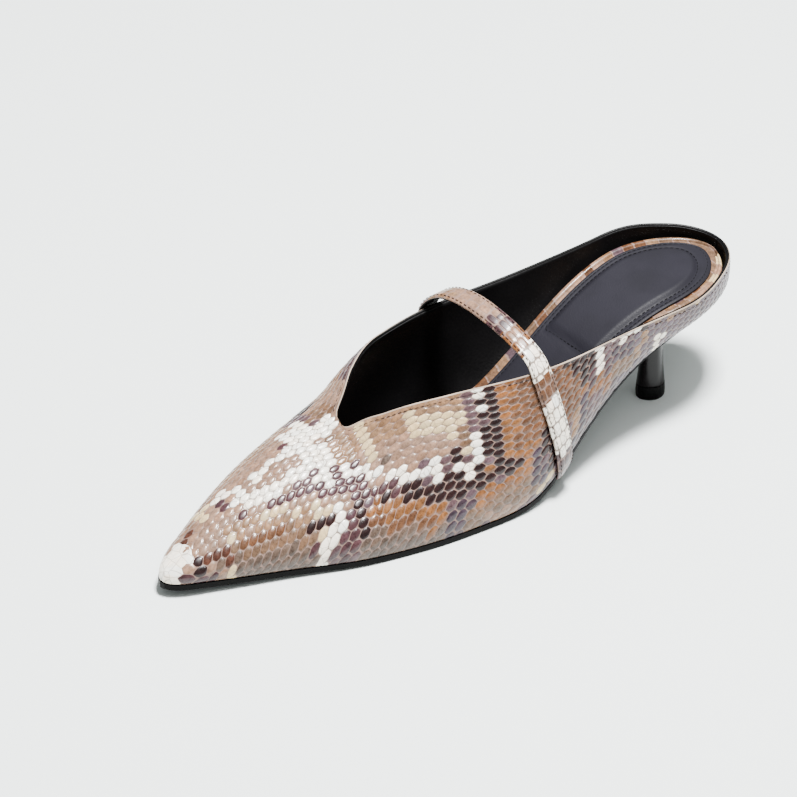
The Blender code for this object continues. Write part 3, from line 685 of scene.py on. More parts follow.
def crown_value(name, side, distance):
    """A crown value of one side, turning softly into the shared line ahead of the throat point."""
    value = CROWN.read(name + side_name(side), distance)
    other = CROWN.read(name + side_name(-side), distance)
    shared = (value + other) / 2 if name == "height_" else (value - other) / 2
    share = min(max((distance - THROAT_POINT + RIDGE_BLEND) / RIDGE_BLEND, 0.0), 1.0)
    return value + (shared - value) * share * share * (3 - 2 * share)


def crown_point(side, u):
    distance = station_at(min(u, 2.0))
    if u < 1:
        width = BALL_HALF_WIDTH * CROWN.read(side_name(side), HEEL_TURN)
        point = heel_curve(side, u, width, RIM_BACK, RIM_FULLNESS)
    else:
        place = side * BALL_HALF_WIDTH * crown_value("", side, distance)
        point = np.array((place, distance, 0.0))
    height = crown_value("height_", side, distance)
    middle = (height + crown_value("height_", -side, distance)) / 2
    point[2] = INSTEP_HEIGHT * (height + (middle - height) * heel_blend(distance))
    return point


def ridge_direction():
    """Direction of the vamp's ridge where the toe turn starts, forwards and down."""
    step = 0.002
    ahead = crown_point(LATERAL, 2.0) - crown_point(LATERAL, u_at(TOE_TURN - step))
    return ahead / np.linalg.norm(ahead)


def section(side, u):
    """Four control points of the outer wall's curve, from the feather edge to the crown."""
    name = side_name(side)
    distance = station_at(u)
    foot = feather_point(side, u)
    crown = crown_point(side, u)
    face = outward(side, u)
    lean = math.radians(WALL.read("lean_" + name, distance))
    foot_reach = BALL_HALF_WIDTH * WALL.read("foot_" + name, distance)
    low = foot + foot_reach * (math.cos(lean) * face + np.array((0, 0, math.sin(lean))))
    crown_reach = BALL_HALF_WIDTH * WALL.read("crown_" + name, distance)
    fall = math.radians(crown_value("fall_", side, min(distance, TOE_TURN)))
    if u > 2:
        angle = (u - 2) * math.pi / 2
        level = np.array((side * math.cos(fall), 0.0, -math.sin(fall)))
        high = crown + crown_reach * (math.cos(angle) * level + math.sin(angle) * ridge_direction())
    else:
        high = crown + crown_reach * (math.cos(fall) * face - np.array((0, 0, math.sin(fall))))
    return foot, low, high, crown


def share_at_height(side, u, height):
    """Share of the section's curve at which the outer wall reaches a height."""
    points = section(side, u)
    low, high = 0.0, 1.0
    for _ in range(40):
        middle = (low + high) / 2
        if bezier(points, middle)[2] < height:
            low = middle
        else:
            high = middle
    return (low + high) / 2


def topline_height(side, distance):
    height = TOPLINE.read(side_name(side), distance)
    middle = (TOPLINE.read("lateral", distance) + TOPLINE.read("medial", distance)) / 2
    return TOPLINE_HEIGHT * (height + (middle - height) * heel_blend(distance) ** 2)


def top_share(side, u):
    """Share of the section's curve where the topline cuts it, 1 on the closed vamp."""
    distance = station_at(u)
    if distance >= THROAT_POINT:
        return 1.0
    if distance <= THROAT_START:
        return share_at_height(side, u, topline_height(side, distance))
    bow = THROAT_BOW_LATERAL if side == LATERAL else THROAT_BOW_MEDIAL
    start = u_at(THROAT_START)
    share = share_at_height(side, start, topline_height(side, THROAT_START))
    left = (THROAT_POINT - distance) / (THROAT_POINT - THROAT_START)
    return 1 - (1 - share) * left ** bow


def wall_place(side, distance, height):
    """Point of the outer wall at a station and a height, and the way it faces there."""
    u = u_at(distance)
    step = 0.002
    share = share_at_height(side, u, height)
    points = section(side, u)
    here = bezier(points, share)
    up = bezier(points, min(share + 0.02, 1)) - bezier(points, max(share - 0.02, 0))
    next_u = u_at(distance + step)
    ahead = bezier(section(side, next_u), share_at_height(side, next_u, height)) - here
    facing = np.cross(ahead, up) * side
    facing = facing / np.linalg.norm(facing)
    if facing[0] * side < 0:
        facing = -facing
    return here, facing


def inner_reach(side, u, height):
    """How far out the upper's inner face is at a height, along the section's plan direction."""
    points = section(side, u)
    face = outward(side, u)
    shares = np.linspace(0, 1, 41)
    curve = np.array([bezier(points, t) for t in shares])
    reach = curve @ face
    run = np.gradient(reach)
    rise = np.gradient(curve[:, 2])
    length = np.hypot(run, rise)
    inner = reach - UPPER_WALL * rise / length
    level = curve[:, 2] + UPPER_WALL * run / length
    return float(np.interp(height, level, inner))


def world(point):
    """A point of the shoe (across, along, up) in the model's frame."""
    return (point[0] - FOOTPRINT[0], FOOTPRINT[1] - point[1], point[2])


def sole_edge(side, u):
    """Top edge of the outsole under the feather edge."""
    point = feather_point(side, u)
    distance = station_at(u)
    tuck = (SEAT_TUCK_START - distance) / (SEAT_TUCK_START - SEAT_TUCK_FULL)
    tuck = min(max(tuck, 0.0), 1.0)
    margin = OUTSOLE_MARGIN - (OUTSOLE_MARGIN + SEAT_TUCK) * tuck
    face = outward(side, u)
    point = point + margin * face
    point[2] = feather_height(side, point[1] if u < 2 else distance) - CLEARANCE
    return point


def sole_thickness(distance):
    waist = min(max((WAIST_START - distance) / (WAIST_START - WAIST_FULL), 0.0), 1.0)
    return OUTSOLE_THICKNESS + (WAIST_THICKNESS - OUTSOLE_THICKNESS) * waist


def sole_top(across, distance):
    """Height of the outsole's upper face at a place, and its u."""
    if distance < HEEL_TURN:
        low, high = 0.0, 1.0
        for _ in range(40):
            middle = (low + high) / 2
            if feather_point(LATERAL, middle)[1] < distance:
                low = middle
            else:
                high = middle
        u = (low + high) / 2
    else:
        u = u_at(distance)
    left = sole_edge(MEDIAL, u)
    right = sole_edge(LATERAL, u)
    share = (across - left[0]) / (right[0] - left[0])
    return left[2] + (right[2] - left[2]) * share, u


def sole_underside(across, distance):
    """Height of the outsole's underside at a place, for the heel to sit against."""
    height, u = sole_top(across, distance)
    return height - sole_thickness(station_at(u))


def oval(length, width, height, count=28):
    """Ring of the heel: rounded at the back and flatter at the breast, at one height."""
    ring = []
    for i in range(count):
        angle = 2 * math.pi * i / count
        along = math.cos(angle)
        across = math.sin(angle)
        if along > 0:
            along = along ** 1.35
        place = HEEL_SIDE + across * width / 2
        ring.append(np.array((place, HEEL_STATION + along * length / 2, height)))
    return ring


def footbed_height(across, along):
    """Height of the footbed, level across or tilted evenly to one side at each station."""
    lateral = FOOTBED.read("height_lateral", along)
    medial = FOOTBED.read("height_medial", along)
    tilt = across / BALL_HALF_WIDTH
    return FOOTBED_LIFT * ((lateral + medial) / 2 + (lateral - medial) / 2 * tilt)


def footbed_edge(side, u, drop=0.0, inset=0.0):
    """Edge of the footbed, lowered by drop and set in by inset, kept inside the upper."""
    name = side_name(side)
    distance = station_at(u)
    if u < 1:
        width = BALL_HALF_WIDTH * FOOTBED.read(name, HEEL_TURN)
        point = heel_curve(side, u, width - inset, INSOLE_BACK + inset, INSOLE_FULLNESS)
    else:
        width = BALL_HALF_WIDTH * FOOTBED.read(name, distance)
        height = footbed_height(side * width, distance)
        width = min(width, inner_reach(side, u, height) - INSOLE_GAP)
        point = np.array((side * (width - inset), distance, 0.0))
    point[2] = footbed_height(point[0], point[1]) - drop
    return point


def strap_rail(share):
    """One line along the strap's inner face: share -1 is its rear edge and 1 its front edge.
    It follows the walls up from both feather edges and crosses the instep between them."""
    offset = share * STRAP_WIDTH / 2
    walls = []
    for side, foot, rim in (
        (LATERAL, STRAP_FOOT_LATERAL, STRAP_RIM_LATERAL),
        (MEDIAL, STRAP_FOOT_MEDIAL, STRAP_RIM_MEDIAL),
    ):
        run = []
        low = STRAP_FOOT_LIFT
        for step in np.linspace(0, 1, 9):
            distance = SHOE_LENGTH * (foot + (rim - foot) * step) + offset
            base = feather_height(side, distance) + low
            top = topline_height(side, distance)
            here, facing = wall_place(side, distance, base + (top - base) * step)
            run.append(here + STRAP_GAP * facing)
        walls.append(run)
    pitch = math.radians(STRAP_PITCH)
    arch = []
    for across, station, height in STRAP_ARCH:
        middle = np.array((across * BALL_HALF_WIDTH, station * SHOE_LENGTH, height * INSTEP_HEIGHT))
        slope = pitch * (1 - min(abs(across) / 0.7, 1.0) ** 2)
        arch.append(middle + offset * np.array((0.0, math.cos(slope), -math.sin(slope))))
    return walls[0] + arch + walls[1][::-1]


def smooth_run(values, count):
    """A smooth curve through the given points, read at even steps."""
    values = np.array(values)
    steps = np.concatenate(([0], np.cumsum(np.linalg.norm(np.diff(values, axis=0), axis=1))))
    bends = [Table.bend(steps, values[:, k]) for k in range(values.shape[1])]
    result = []
    for place in np.linspace(0, steps[-1], count):
        i = min(int(np.searchsorted(steps, place, side="right")) - 1, len(steps) - 2)
        gap = steps[i + 1] - steps[i]
        a = (steps[i + 1] - place) / gap
        b = 1 - a
        row = []
        for k, bend in enumerate(bends):
            curve = (a ** 3 - a) * bend[i] + (b ** 3 - b) * bend[i + 1]
            row.append(a * values[i, k] + b * values[i + 1, k] + curve * gap * gap / 6)
        result.append(row)
    return np.array(result)


def footprint_centre():
    """Middle of the shoe's plan box, so that the model's origin lies under it."""
    across = []
    along = []
    for side in (LATERAL, MEDIAL):
        for u in np.linspace(0, 3, 121):
            points = section(side, u)
            top = top_share(side, u)
            for share in np.linspace(0, 1, 13):
                point = bezier(points, share * top)
                across.append(point[0])
                along.append(point[1])
    return (max(across) + min(across)) / 2, (max(along) + min(along)) / 2


def worlds(points):
    """Points of the shoe (across, along, up) in the model's frame."""
    points = np.asarray(points, float)
    return np.stack((points[..., 0] - FOOTPRINT[0], FOOTPRINT[1] - points[..., 1], points[..., 2]), -1)


def smooth(value):
    """Soft step from 0 to 1."""
    value = np.clip(value, 0.0, 1.0)
    return value * value * (3 - 2 * value)


# Materials

def shader_of(material):
    return material.node_tree.nodes["Principled BSDF"]


def new_material(name, colour, roughness, gloss=0.5, coat=0.0, coat_roughness=0.1):
    material = bpy.data.materials.new(name)
    material.use_nodes = True
    shader = shader_of(material)
    shader.inputs["Base Color"].default_value = (*colour, 1.0)
    shader.inputs["Roughness"].default_value = roughness
    shader.inputs["Specular IOR Level"].default_value = gloss
    shader.inputs["Coat Weight"].default_value = coat
    shader.inputs["Coat Roughness"].default_value = coat_roughness
    return material


def wire(tree, output, target):
    tree.links.new(output, target)


def mix_colours(tree, factor, first, second, mode="MIX"):
    """A colour mix node. Each of its inputs is a socket or a value."""
    node = tree.nodes.new("ShaderNodeMix")
    node.data_type = "RGBA"
    node.blend_type = mode
    for index, value in ((0, factor), (6, first), (7, second)):
        if hasattr(value, "is_output"):
            wire(tree, value, node.inputs[index])
        else:
            node.inputs[index].default_value = value
    return node.outputs[2]


def ramp(tree, value, low, high, low_out=0.0, high_out=1.0):
    """A value carried from one range to another, held at its ends, with a soft step."""
    node = tree.nodes.new("ShaderNodeMapRange")
    node.interpolation_type = "SMOOTHSTEP"
    wire(tree, value, node.inputs["Value"])
    for name, number in (("From Min", low), ("From Max", high), ("To Min", low_out), ("To Max", high_out)):
        if hasattr(number, "is_output"):
            wire(tree, number, node.inputs[name])
        else:
            node.inputs[name].default_value = number
    return node.outputs["Result"]


def maths(tree, operation, first, second=0.0, third=0.0):
    node = tree.nodes.new("ShaderNodeMath")
    node.operation = operation
    for index, value in enumerate((first, second, third)):
        if hasattr(value, "is_output"):
            wire(tree, value, node.inputs[index])
        else:
            node.inputs[index].default_value = value
    return node.outputs[0]


def noise(tree, coordinates, scale, detail=3.0, roughness=0.55):
    node = tree.nodes.new("ShaderNodeTexNoise")
    wire(tree, coordinates, node.inputs["Vector"])
    node.inputs["Scale"].default_value = scale
    node.inputs["Detail"].default_value = detail
    node.inputs["Roughness"].default_value = roughness
    return node.outputs["Fac"]


def object_place(tree):
    return tree.nodes.new("ShaderNodeTexCoord").outputs["Object"]


def bump(tree, height, strength, distance):
    node = tree.nodes.new("ShaderNodeBump")
    node.inputs["Strength"].default_value = strength
    node.inputs["Distance"].default_value = distance
    wire(tree, height, node.inputs["Height"])
    return node.outputs["Normal"]


def new_group(name, inputs, outputs):
    """An empty node group with named sockets, and its input and output nodes."""
    group = bpy.data.node_groups.new(name, "ShaderNodeTree")
    for label, kind, value in inputs:
        socket = group.interface.new_socket(name=label, in_out="INPUT", socket_type=kind)
        if value is not None:
            socket.default_value = value
    for label, kind in outputs:
        group.interface.new_socket(name=label, in_out="OUTPUT", socket_type=kind)
    return group, group.nodes.new("NodeGroupInput"), group.nodes.new("NodeGroupOutput")


def grain_group():
    """Fine leather grain: a height of small pebbles and pores, and a soft cloudy shade."""
    group, inside, outside = new_group(
        "leather_grain",
        (("Grain Size", "NodeSocketFloat", 1400.0), ("Cloud Size", "NodeSocketFloat", 60.0)),
        (("Height", "NodeSocketFloat"), ("Cloud", "NodeSocketFloat")),
    )
    place = object_place(group)
    cells = group.nodes.new("ShaderNodeTexVoronoi")
    cells.feature = "SMOOTH_F1"
    wire(group, place, cells.inputs["Vector"])
    wire(group, inside.outputs["Grain Size"], cells.inputs["Scale"])
    pores = group.nodes.new("ShaderNodeTexNoise")
    wire(group, place, pores.inputs["Vector"])
    pores.inputs["Scale"].default_value = PORE_SIZE
    pore_height = maths(group, "MULTIPLY", pores.outputs["Fac"], PORE_RELIEF)
    height = maths(group, "ADD", cells.outputs["Distance"], pore_height)
    clouds = group.nodes.new("ShaderNodeTexNoise")
    wire(group, place, clouds.inputs["Vector"])
    wire(group, inside.outputs["Cloud Size"], clouds.inputs["Scale"])
    wire(group, height, outside.inputs["Height"])
    wire(group, clouds.outputs["Fac"], outside.inputs["Cloud"])
    return group


def scale_group():
    """Colour, gloss and height of one embossed scale from its own place (0 to 1 each way), its
    tone and how pale it is."""
    group, inside, outside = new_group(
        "embossed_scale",
        (
            ("Place", "NodeSocketVector", None),
            ("Tone", "NodeSocketColor", None),
            ("Pale", "NodeSocketFloat", 0.0),
            ("Groove Width", "NodeSocketFloat", GROOVE_SHARE),
            ("Groove Tone", "NodeSocketColor", (*GROOVE_TONE, 1.0)),
            ("Crack Tone", "NodeSocketColor", (*CRACK_TONE, 1.0)),
        ),
        (("Color", "NodeSocketColor"), ("Roughness", "NodeSocketFloat"), ("Height", "NodeSocketFloat")),
    )
    place = object_place(group)
    axes = group.nodes.new("ShaderNodeSeparateXYZ")
    wire(group, inside.outputs["Place"], axes.inputs[0])
    wander = maths(group, "SUBTRACT", noise(group, place, WOBBLE_SIZE, 2.0), 0.5)
    wobble = maths(group, "MULTIPLY", wander, WOBBLE)
    powers = []
    for axis in ("X", "Y"):
        centred = maths(group, "ABSOLUTE", maths(group, "MULTIPLY_ADD", axes.outputs[axis], 2.0, -1.0))
        powers.append(maths(group, "POWER", maths(group, "ADD", centred, wobble), SCALE_ROUNDNESS))
    edge = maths(group, "POWER", maths(group, "ADD", powers[0], powers[1]), 1 / SCALE_ROUNDNESS)
    inner = maths(group, "SUBTRACT", 1.0, inside.outputs["Groove Width"])
    bare = ramp(group, inside.outputs["Pale"], 1.0, 2.0)
    groove = maths(group, "MULTIPLY", ramp(group, edge, inner, 1.0), maths(group, "SUBTRACT", 1.0, bare))
    paleness = maths(group, "MINIMUM", inside.outputs["Pale"], 1.0)
    streak = noise(group, place, STREAK_SIZE, 4.0, 0.7)
    cloud = noise(group, place, CLOUD_SIZE, 3.0, 0.6)
    shade = ramp(group, cloud, NOISE_LOW, NOISE_HIGH, *CLOUD_SHADE)
    fine = ramp(group, streak, NOISE_LOW, NOISE_HIGH, *STREAK_SHADE)
    both = maths(group, "MULTIPLY", shade, fine)
    even = maths(group, "MULTIPLY", paleness, PALE_EVENNESS)
    level = mix_value(group, even, both, 1.0)
    tone = scaled_colour(group, inside.outputs["Tone"], level)
    cracks = group.nodes.new("ShaderNodeTexVoronoi")
    cracks.feature = "DISTANCE_TO_EDGE"
    wire(group, place, cracks.inputs["Vector"])
    cracks.inputs["Scale"].default_value = CRACK_SIZE
    crack = ramp(group, cracks.outputs["Distance"], 0.0, CRACK_WIDTH, 1.0, 0.0)
    crack_share = maths(group, "MULTIPLY", maths(group, "MULTIPLY", crack, paleness), CRACK_COVER)
    tone = mix_colours(group, crack_share, tone, inside.outputs["Crack Tone"])
    line = mix_colours(group, paleness, inside.outputs["Groove Tone"], inside.outputs["Crack Tone"])
    depth = maths(group, "MULTIPLY", groove, GROOVE_COVER)
    colour = mix_colours(group, depth, tone, line)
    rough = ramp(group, streak, 0.3, 0.7, *SCALE_GLOSS)
    dull = maths(group, "ADD", rough, maths(group, "MULTIPLY", groove, GROOVE_DULLNESS))
    height = maths(group, "SUBTRACT", maths(group, "MULTIPLY", cloud, CLOUD_RELIEF), groove)
    wire(group, colour, outside.inputs["Color"])
    wire(group, dull, outside.inputs["Roughness"])
    wire(group, height, outside.inputs["Height"])
    return group


def mix_value(tree, factor, first, second):
    """A plain value between two others."""
    node = tree.nodes.new("ShaderNodeMix")
    node.data_type = "FLOAT"
    for index, value in ((0, factor), (2, first), (3, second)):
        if hasattr(value, "is_output"):
            wire(tree, value, node.inputs[index])
        else:
            node.inputs[index].default_value = value
    return node.outputs[0]


def scaled_colour(tree, colour, level):
    node = tree.nodes.new("ShaderNodeVectorMath")
    node.operation = "SCALE"
    wire(tree, colour, node.inputs[0])
    wire(tree, level, node.inputs["Scale"])
    return node.outputs["Vector"]


def embossed_leather(name, groove_width=GROOVE_SHARE):
    """Glossy scale-embossed leather, its tones and scale places read from the piece itself."""
    material = new_material(name, TONES["tan"][0], 0.3, gloss=0.25, coat=0.30, coat_roughness=0.14)
    tree = material.node_tree
    shader = shader_of(material)
    scale = tree.nodes.new("ShaderNodeGroup")
    scale.node_tree = bpy.data.node_groups["embossed_scale"]
    scale.inputs["Groove Width"].default_value = groove_width
    place = tree.nodes.new("ShaderNodeUVMap")
    place.uv_map = "scale_place"
    tone = tree.nodes.new("ShaderNodeAttribute")
    tone.attribute_name = "scale_tone"
    pale = tree.nodes.new("ShaderNodeAttribute")
    pale.attribute_name = "scale_pale"
    wire(tree, place.outputs["UV"], scale.inputs["Place"])
    wire(tree, tone.outputs["Color"], scale.inputs["Tone"])
    wire(tree, pale.outputs["Fac"], scale.inputs["Pale"])
    wire(tree, scale.outputs["Color"], shader.inputs["Base Color"])
    wire(tree, scale.outputs["Roughness"], shader.inputs["Roughness"])
    wire(tree, bump(tree, scale.outputs["Height"], 0.35, 0.0002), shader.inputs["Normal"])
    return material


def grained(name, colour, roughness, grain, cloud=0.25, gloss=0.2, coat=0.0, coat_roughness=0.1, size=1400.0):
    """Plain leather, rubber or lacquer with a fine grain and a slightly uneven shade."""
    material = new_material(name, colour, roughness, gloss, coat, coat_roughness)
    tree = material.node_tree
    shader = shader_of(material)
    surface = tree.nodes.new("ShaderNodeGroup")
    surface.node_tree = bpy.data.node_groups["leather_grain"]
    surface.inputs["Grain Size"].default_value = size
    level = ramp(tree, surface.outputs["Cloud"], 0.3, 0.7, 1 - cloud, 1 + cloud)
    base = tree.nodes.new("ShaderNodeRGB")
    base.outputs[0].default_value = (*colour, 1.0)
    wire(tree, scaled_colour(tree, base.outputs[0], level), shader.inputs["Base Color"])
    gloss = ramp(tree, surface.outputs["Height"], 0.1, 0.9, roughness - 0.05, roughness + 0.07)
    wire(tree, gloss, shader.inputs["Roughness"])
    wire(tree, bump(tree, surface.outputs["Height"], grain, 0.00012), shader.inputs["Normal"])
    return material


# Meshes

def new_piece(name, points, faces, materials, smooth_angle=50):
    mesh = bpy.data.meshes.new(name)
    mesh.from_pydata([tuple(p) for p in points], [], [tuple(f) for f in faces])
    for material in materials:
        mesh.materials.append(material)
    mesh.shade_smooth()
    mesh.set_sharp_from_angle(angle=math.radians(smooth_angle))
    piece = bpy.data.objects.new(name, mesh)
    bpy.context.scene.collection.objects.link(piece)
    return piece


def closed_faces(rows, count):
    """Quads round and along a tube of rows, and its two end caps."""
    faces = []
    for r in range(rows - 1):
        for i in range(count):
            j = (i + 1) % count
            faces.append((r * count + i, r * count + j, (r + 1) * count + j, (r + 1) * count + i))
    faces.append(tuple(reversed(range(count))))
    faces.append(tuple(range((rows - 1) * count, rows * count)))
    return faces


def outward_faces(piece):
    """Turns a closed piece's faces outwards."""
    bm = bmesh.new()
    bm.from_mesh(piece.data)
    bmesh.ops.remove_doubles(bm, verts=bm.verts, dist=1e-7)
    bmesh.ops.recalc_face_normals(bm, faces=bm.faces)
    if bm.calc_volume(signed=True) < 0:
        bmesh.ops.reverse_faces(bm, faces=bm.faces)
    bm.to_mesh(piece.data)
    bm.free()
    piece.data.shade_smooth()
    piece.data.set_sharp_from_angle(angle=math.radians(50))


def paint(mesh, places, tones, pales):
    """Writes each face corner's place in its scale, and each face's tone, to a mesh."""
    corners = np.zeros(len(mesh.polygons), int)
    mesh.polygons.foreach_get("loop_total", corners)
    layer = mesh.uv_layers.new(name="scale_place")
    layer.data.foreach_set("uv", np.asarray(places, np.float32).ravel())
    tone = mesh.color_attributes.new(name="scale_tone", type="FLOAT_COLOR", domain="CORNER")
    rows = np.repeat(np.asarray(tones, np.float32), corners, axis=0)
    rows = np.concatenate((rows, np.ones((len(rows), 1), np.float32)), axis=1)
    tone.data.foreach_set("color", rows.ravel())
    pale = mesh.attributes.new(name="scale_pale", type="FLOAT", domain="CORNER")
    pale.data.foreach_set("value", np.repeat(np.asarray(pales, np.float32), corners))


# The skin

class Wall:
    """The outer wall of one side, read by u and by the share of its girth up from the feather edge."""

    def __init__(self, side):
        self.side = side
        tip = [u_at(THROAT_POINT - back) for back in (0.0, 0.0002, 0.0006, 0.0012, 0.0024)]
        runs = (np.linspace(0, 1, 61), np.linspace(1, 2, 241), np.linspace(2, 3, 61), tip)
        self.u = np.unique(np.round(np.concatenate(runs), 9))
        self.controls = np.array([section(side, u) for u in self.u])
        self.top = np.array([top_share(side, u) for u in self.u])
        shares = np.linspace(0, 1, GIRTH_STEPS + 1)
        self.even = []
        self.girth = []
        for controls, top in zip(self.controls, self.top):
            curve = self.curve(controls, shares * top)
            steps = np.linalg.norm(np.diff(curve, axis=0), axis=1)
            lengths = np.concatenate(([0.0], np.cumsum(steps)))
            self.girth.append(lengths[-1])
            self.even.append(np.interp(shares * lengths[-1], lengths, shares * top))
        self.even = np.array(self.even)
        self.girth = np.array(self.girth)

    @staticmethod
    def curve(controls, t):
        t = np.asarray(t)[..., None]
        a, b, c, d = (controls[..., k, :] for k in range(4))
        return (1 - t) ** 3 * a + 3 * t * (1 - t) ** 2 * b + 3 * t * t * (1 - t) * c + t ** 3 * d

    def at(self, u, reach):
        """World points and outward normals, and the way up the wall, at u and shares of the girth."""
        u = np.clip(u, 0, 3)
        i = np.clip(np.searchsorted(self.u, u, side="right") - 1, 0, len(self.u) - 2)
        f = (u - self.u[i]) / (self.u[i + 1] - self.u[i])
        place = np.clip(reach, 0, 1) * GIRTH_STEPS
        k = np.minimum(place.astype(int), GIRTH_STEPS - 1)
        g = place - k
        share = (1 - f) * ((1 - g) * self.even[i, k] + g * self.even[i, k + 1])
        share = share + f * ((1 - g) * self.even[i + 1, k] + g * self.even[i + 1, k + 1])
        near = worlds(self.curve(self.controls[i], share))
        far = worlds(self.curve(self.controls[i + 1], share))
        point = near + (far - near) * f[..., None]
        ahead = far - near
        above = worlds(self.curve(self.controls[i], np.minimum(share + 0.004, 1.0)))
        below = worlds(self.curve(self.controls[i], np.maximum(share - 0.004, 0.0)))
        up = above - below
        normal = np.cross(up, ahead) * self.side
        normal = normal / np.maximum(np.linalg.norm(normal, axis=-1, keepdims=True), 1e-12)
        up = up / np.maximum(np.linalg.norm(up, axis=-1, keepdims=True), 1e-12)
        return point, normal, up

    def girth_at(self, u):
        return np.interp(u, self.u, self.girth)


def scale_shrink(distance):
    """The scales get smaller towards the heel."""
    return 1 - SCALE_HEEL_SHRINK * (1 - smooth((distance - HEEL_TURN) / SHRINK_RUN))


def rows_up(rise, size):
    """Rows of scales from the feather edge up to a rise. They get narrower on the way up."""
    rise = rise / size
    return rise / SCALE_GIRTH * (1 + rise / SCALE_GIRTH_EASE)


def rise_of(rows, size):
    """Rise above the feather edge at which a number of rows ends."""
    inner = 1 + 4 * np.maximum(rows, 0.0) * SCALE_GIRTH / SCALE_GIRTH_EASE
    return size * SCALE_GIRTH_EASE / 2 * (np.sqrt(inner) - 1)


class Lattice:
    """Where the scales lie: columns counted from the back and rows from the ridge."""

    def __init__(self, walls):
        self.u = walls[LATERAL].u
        self.distance = np.array([station_at(u) for u in self.u])
        self.size = scale_shrink(self.distance)
        run = np.zeros(len(self.u))
        for wall in walls.values():
            middle = wall.at(self.u, np.full(len(self.u), 0.5))[0]
            steps = np.linalg.norm(np.diff(middle, axis=0), axis=1)
            run[1:] += np.cumsum(steps) / 2
        steps = np.diff(run) / (SCALE_LENGTH * (self.size[1:] + self.size[:-1]) / 2)
        self.column = np.concatenate(([0.0], np.cumsum(steps)))
        self.foot = {}
        self.top = {}
        throat = int(np.searchsorted(self.u, u_at(THROAT_POINT) - 1e-9))
        for side, wall in walls.items():
            span = rows_up(wall.girth, self.size)
            foot = span.copy()
            slope = (span[throat + 6] - span[throat]) / (self.u[throat + 6] - self.u[throat])
            for i in range(throat - 1, -1, -1):
                left = 1 - (THROAT_POINT - self.distance[i]) / ROW_TURN
                foot[i] = foot[i + 1] - slope * smooth(left) * (self.u[i + 1] - self.u[i])
            whole = round(foot[0])
            foot += (whole - foot[0]) * (1 - smooth((self.distance - ROW_EVEN_BACK) / ROW_EVEN_RUN))
            self.foot[side] = foot
            self.top[side] = foot - span

    def u_of(self, column):
        return np.interp(column, self.column, self.u)

    def foot_at(self, side, u):
        return np.interp(u, self.u, self.foot[side])

    def top_at(self, side, u):
        return np.interp(u, self.u, self.top[side])

    def size_at(self, u):
        return np.interp(u, self.u, self.size)

    def place(self, side, wall, column, row):
        """Where a column and row meet: u, the row held to the wall, the rise over the feather edge,
        and whether the place lies past the wall's top or foot. Columns sweep forwards on the way down."""
        start = np.interp(self.u_of(column), self.u, self.distance)
        sweep = SWEEP * wall.girth_at(self.u_of(column))
        sweep = sweep * smooth((start - SWEEP_BACK) / SWEEP_FADE) * smooth((SWEEP_FRONT - start) / SWEEP_FADE)
        u = self.u_of(column)
        for _ in range(5):
            rise = rise_of(self.foot_at(side, u) - row, self.size_at(u))
            reach = np.clip(rise / wall.girth_at(u), 0, 1)
            u = np.interp(start + sweep * (1 - reach) ** SWEEP_BEND, self.distance, self.u)
        top = self.top_at(side, u)
        foot = self.foot_at(side, u)
        held = np.clip(row, top, foot)
        return u, held, rise_of(foot - held, self.size_at(u)), row <= top, row >= foot


def tone_at(side, distance, rise, lot):
    """Tone name of a scale at a distance from the back and a rise up the wall, both in mm."""
    name = BASE_TONE
    for tone, station, height, next_station, next_height, half in PATCHES[side]:
        run = np.array((next_station - station, next_height - height), float)
        gap = np.array((distance - station, rise - height), float)
        length = float(run @ run)
        share = min(max(float(gap @ run) / length, 0.0), 1.0) if length > 0 else 0.0
        off = np.linalg.norm(gap - run * share)
        if off + (lot - 0.5) * PATCH_RAGGED < half:
            name = tone
    return name


def scale_finish(tone, lots):
    """Tone and paleness of one scale, a little different from its neighbours."""
    light, pale = TONES[tone]
    level = 1 + TONE_SPREAD[0] * (lots[0] - 0.5) * (1 - PALE_STEADINESS * min(pale, 1))
    warm = TONE_SPREAD[1] * (lots[1] - 0.5)
    return (light[0] * level * (1 + warm), light[1] * level, light[2] * level * (1 - warm)), pale


def scale_height(across, along):
    """Relief of a scale at its own place, -1 to 1 each way: a low dome with a groove round it."""
    edge = np.abs(across) ** SCALE_ROUNDNESS + np.abs(along) ** SCALE_ROUNDNESS
    edge = edge ** (1 / SCALE_ROUNDNESS)
    dome = SCALE_DOME * (1 - np.minimum(edge, 1.0) ** 2)
    return dome - GROOVE_DEPTH * smooth((edge - GROOVE_START) / (1 - GROOVE_START))


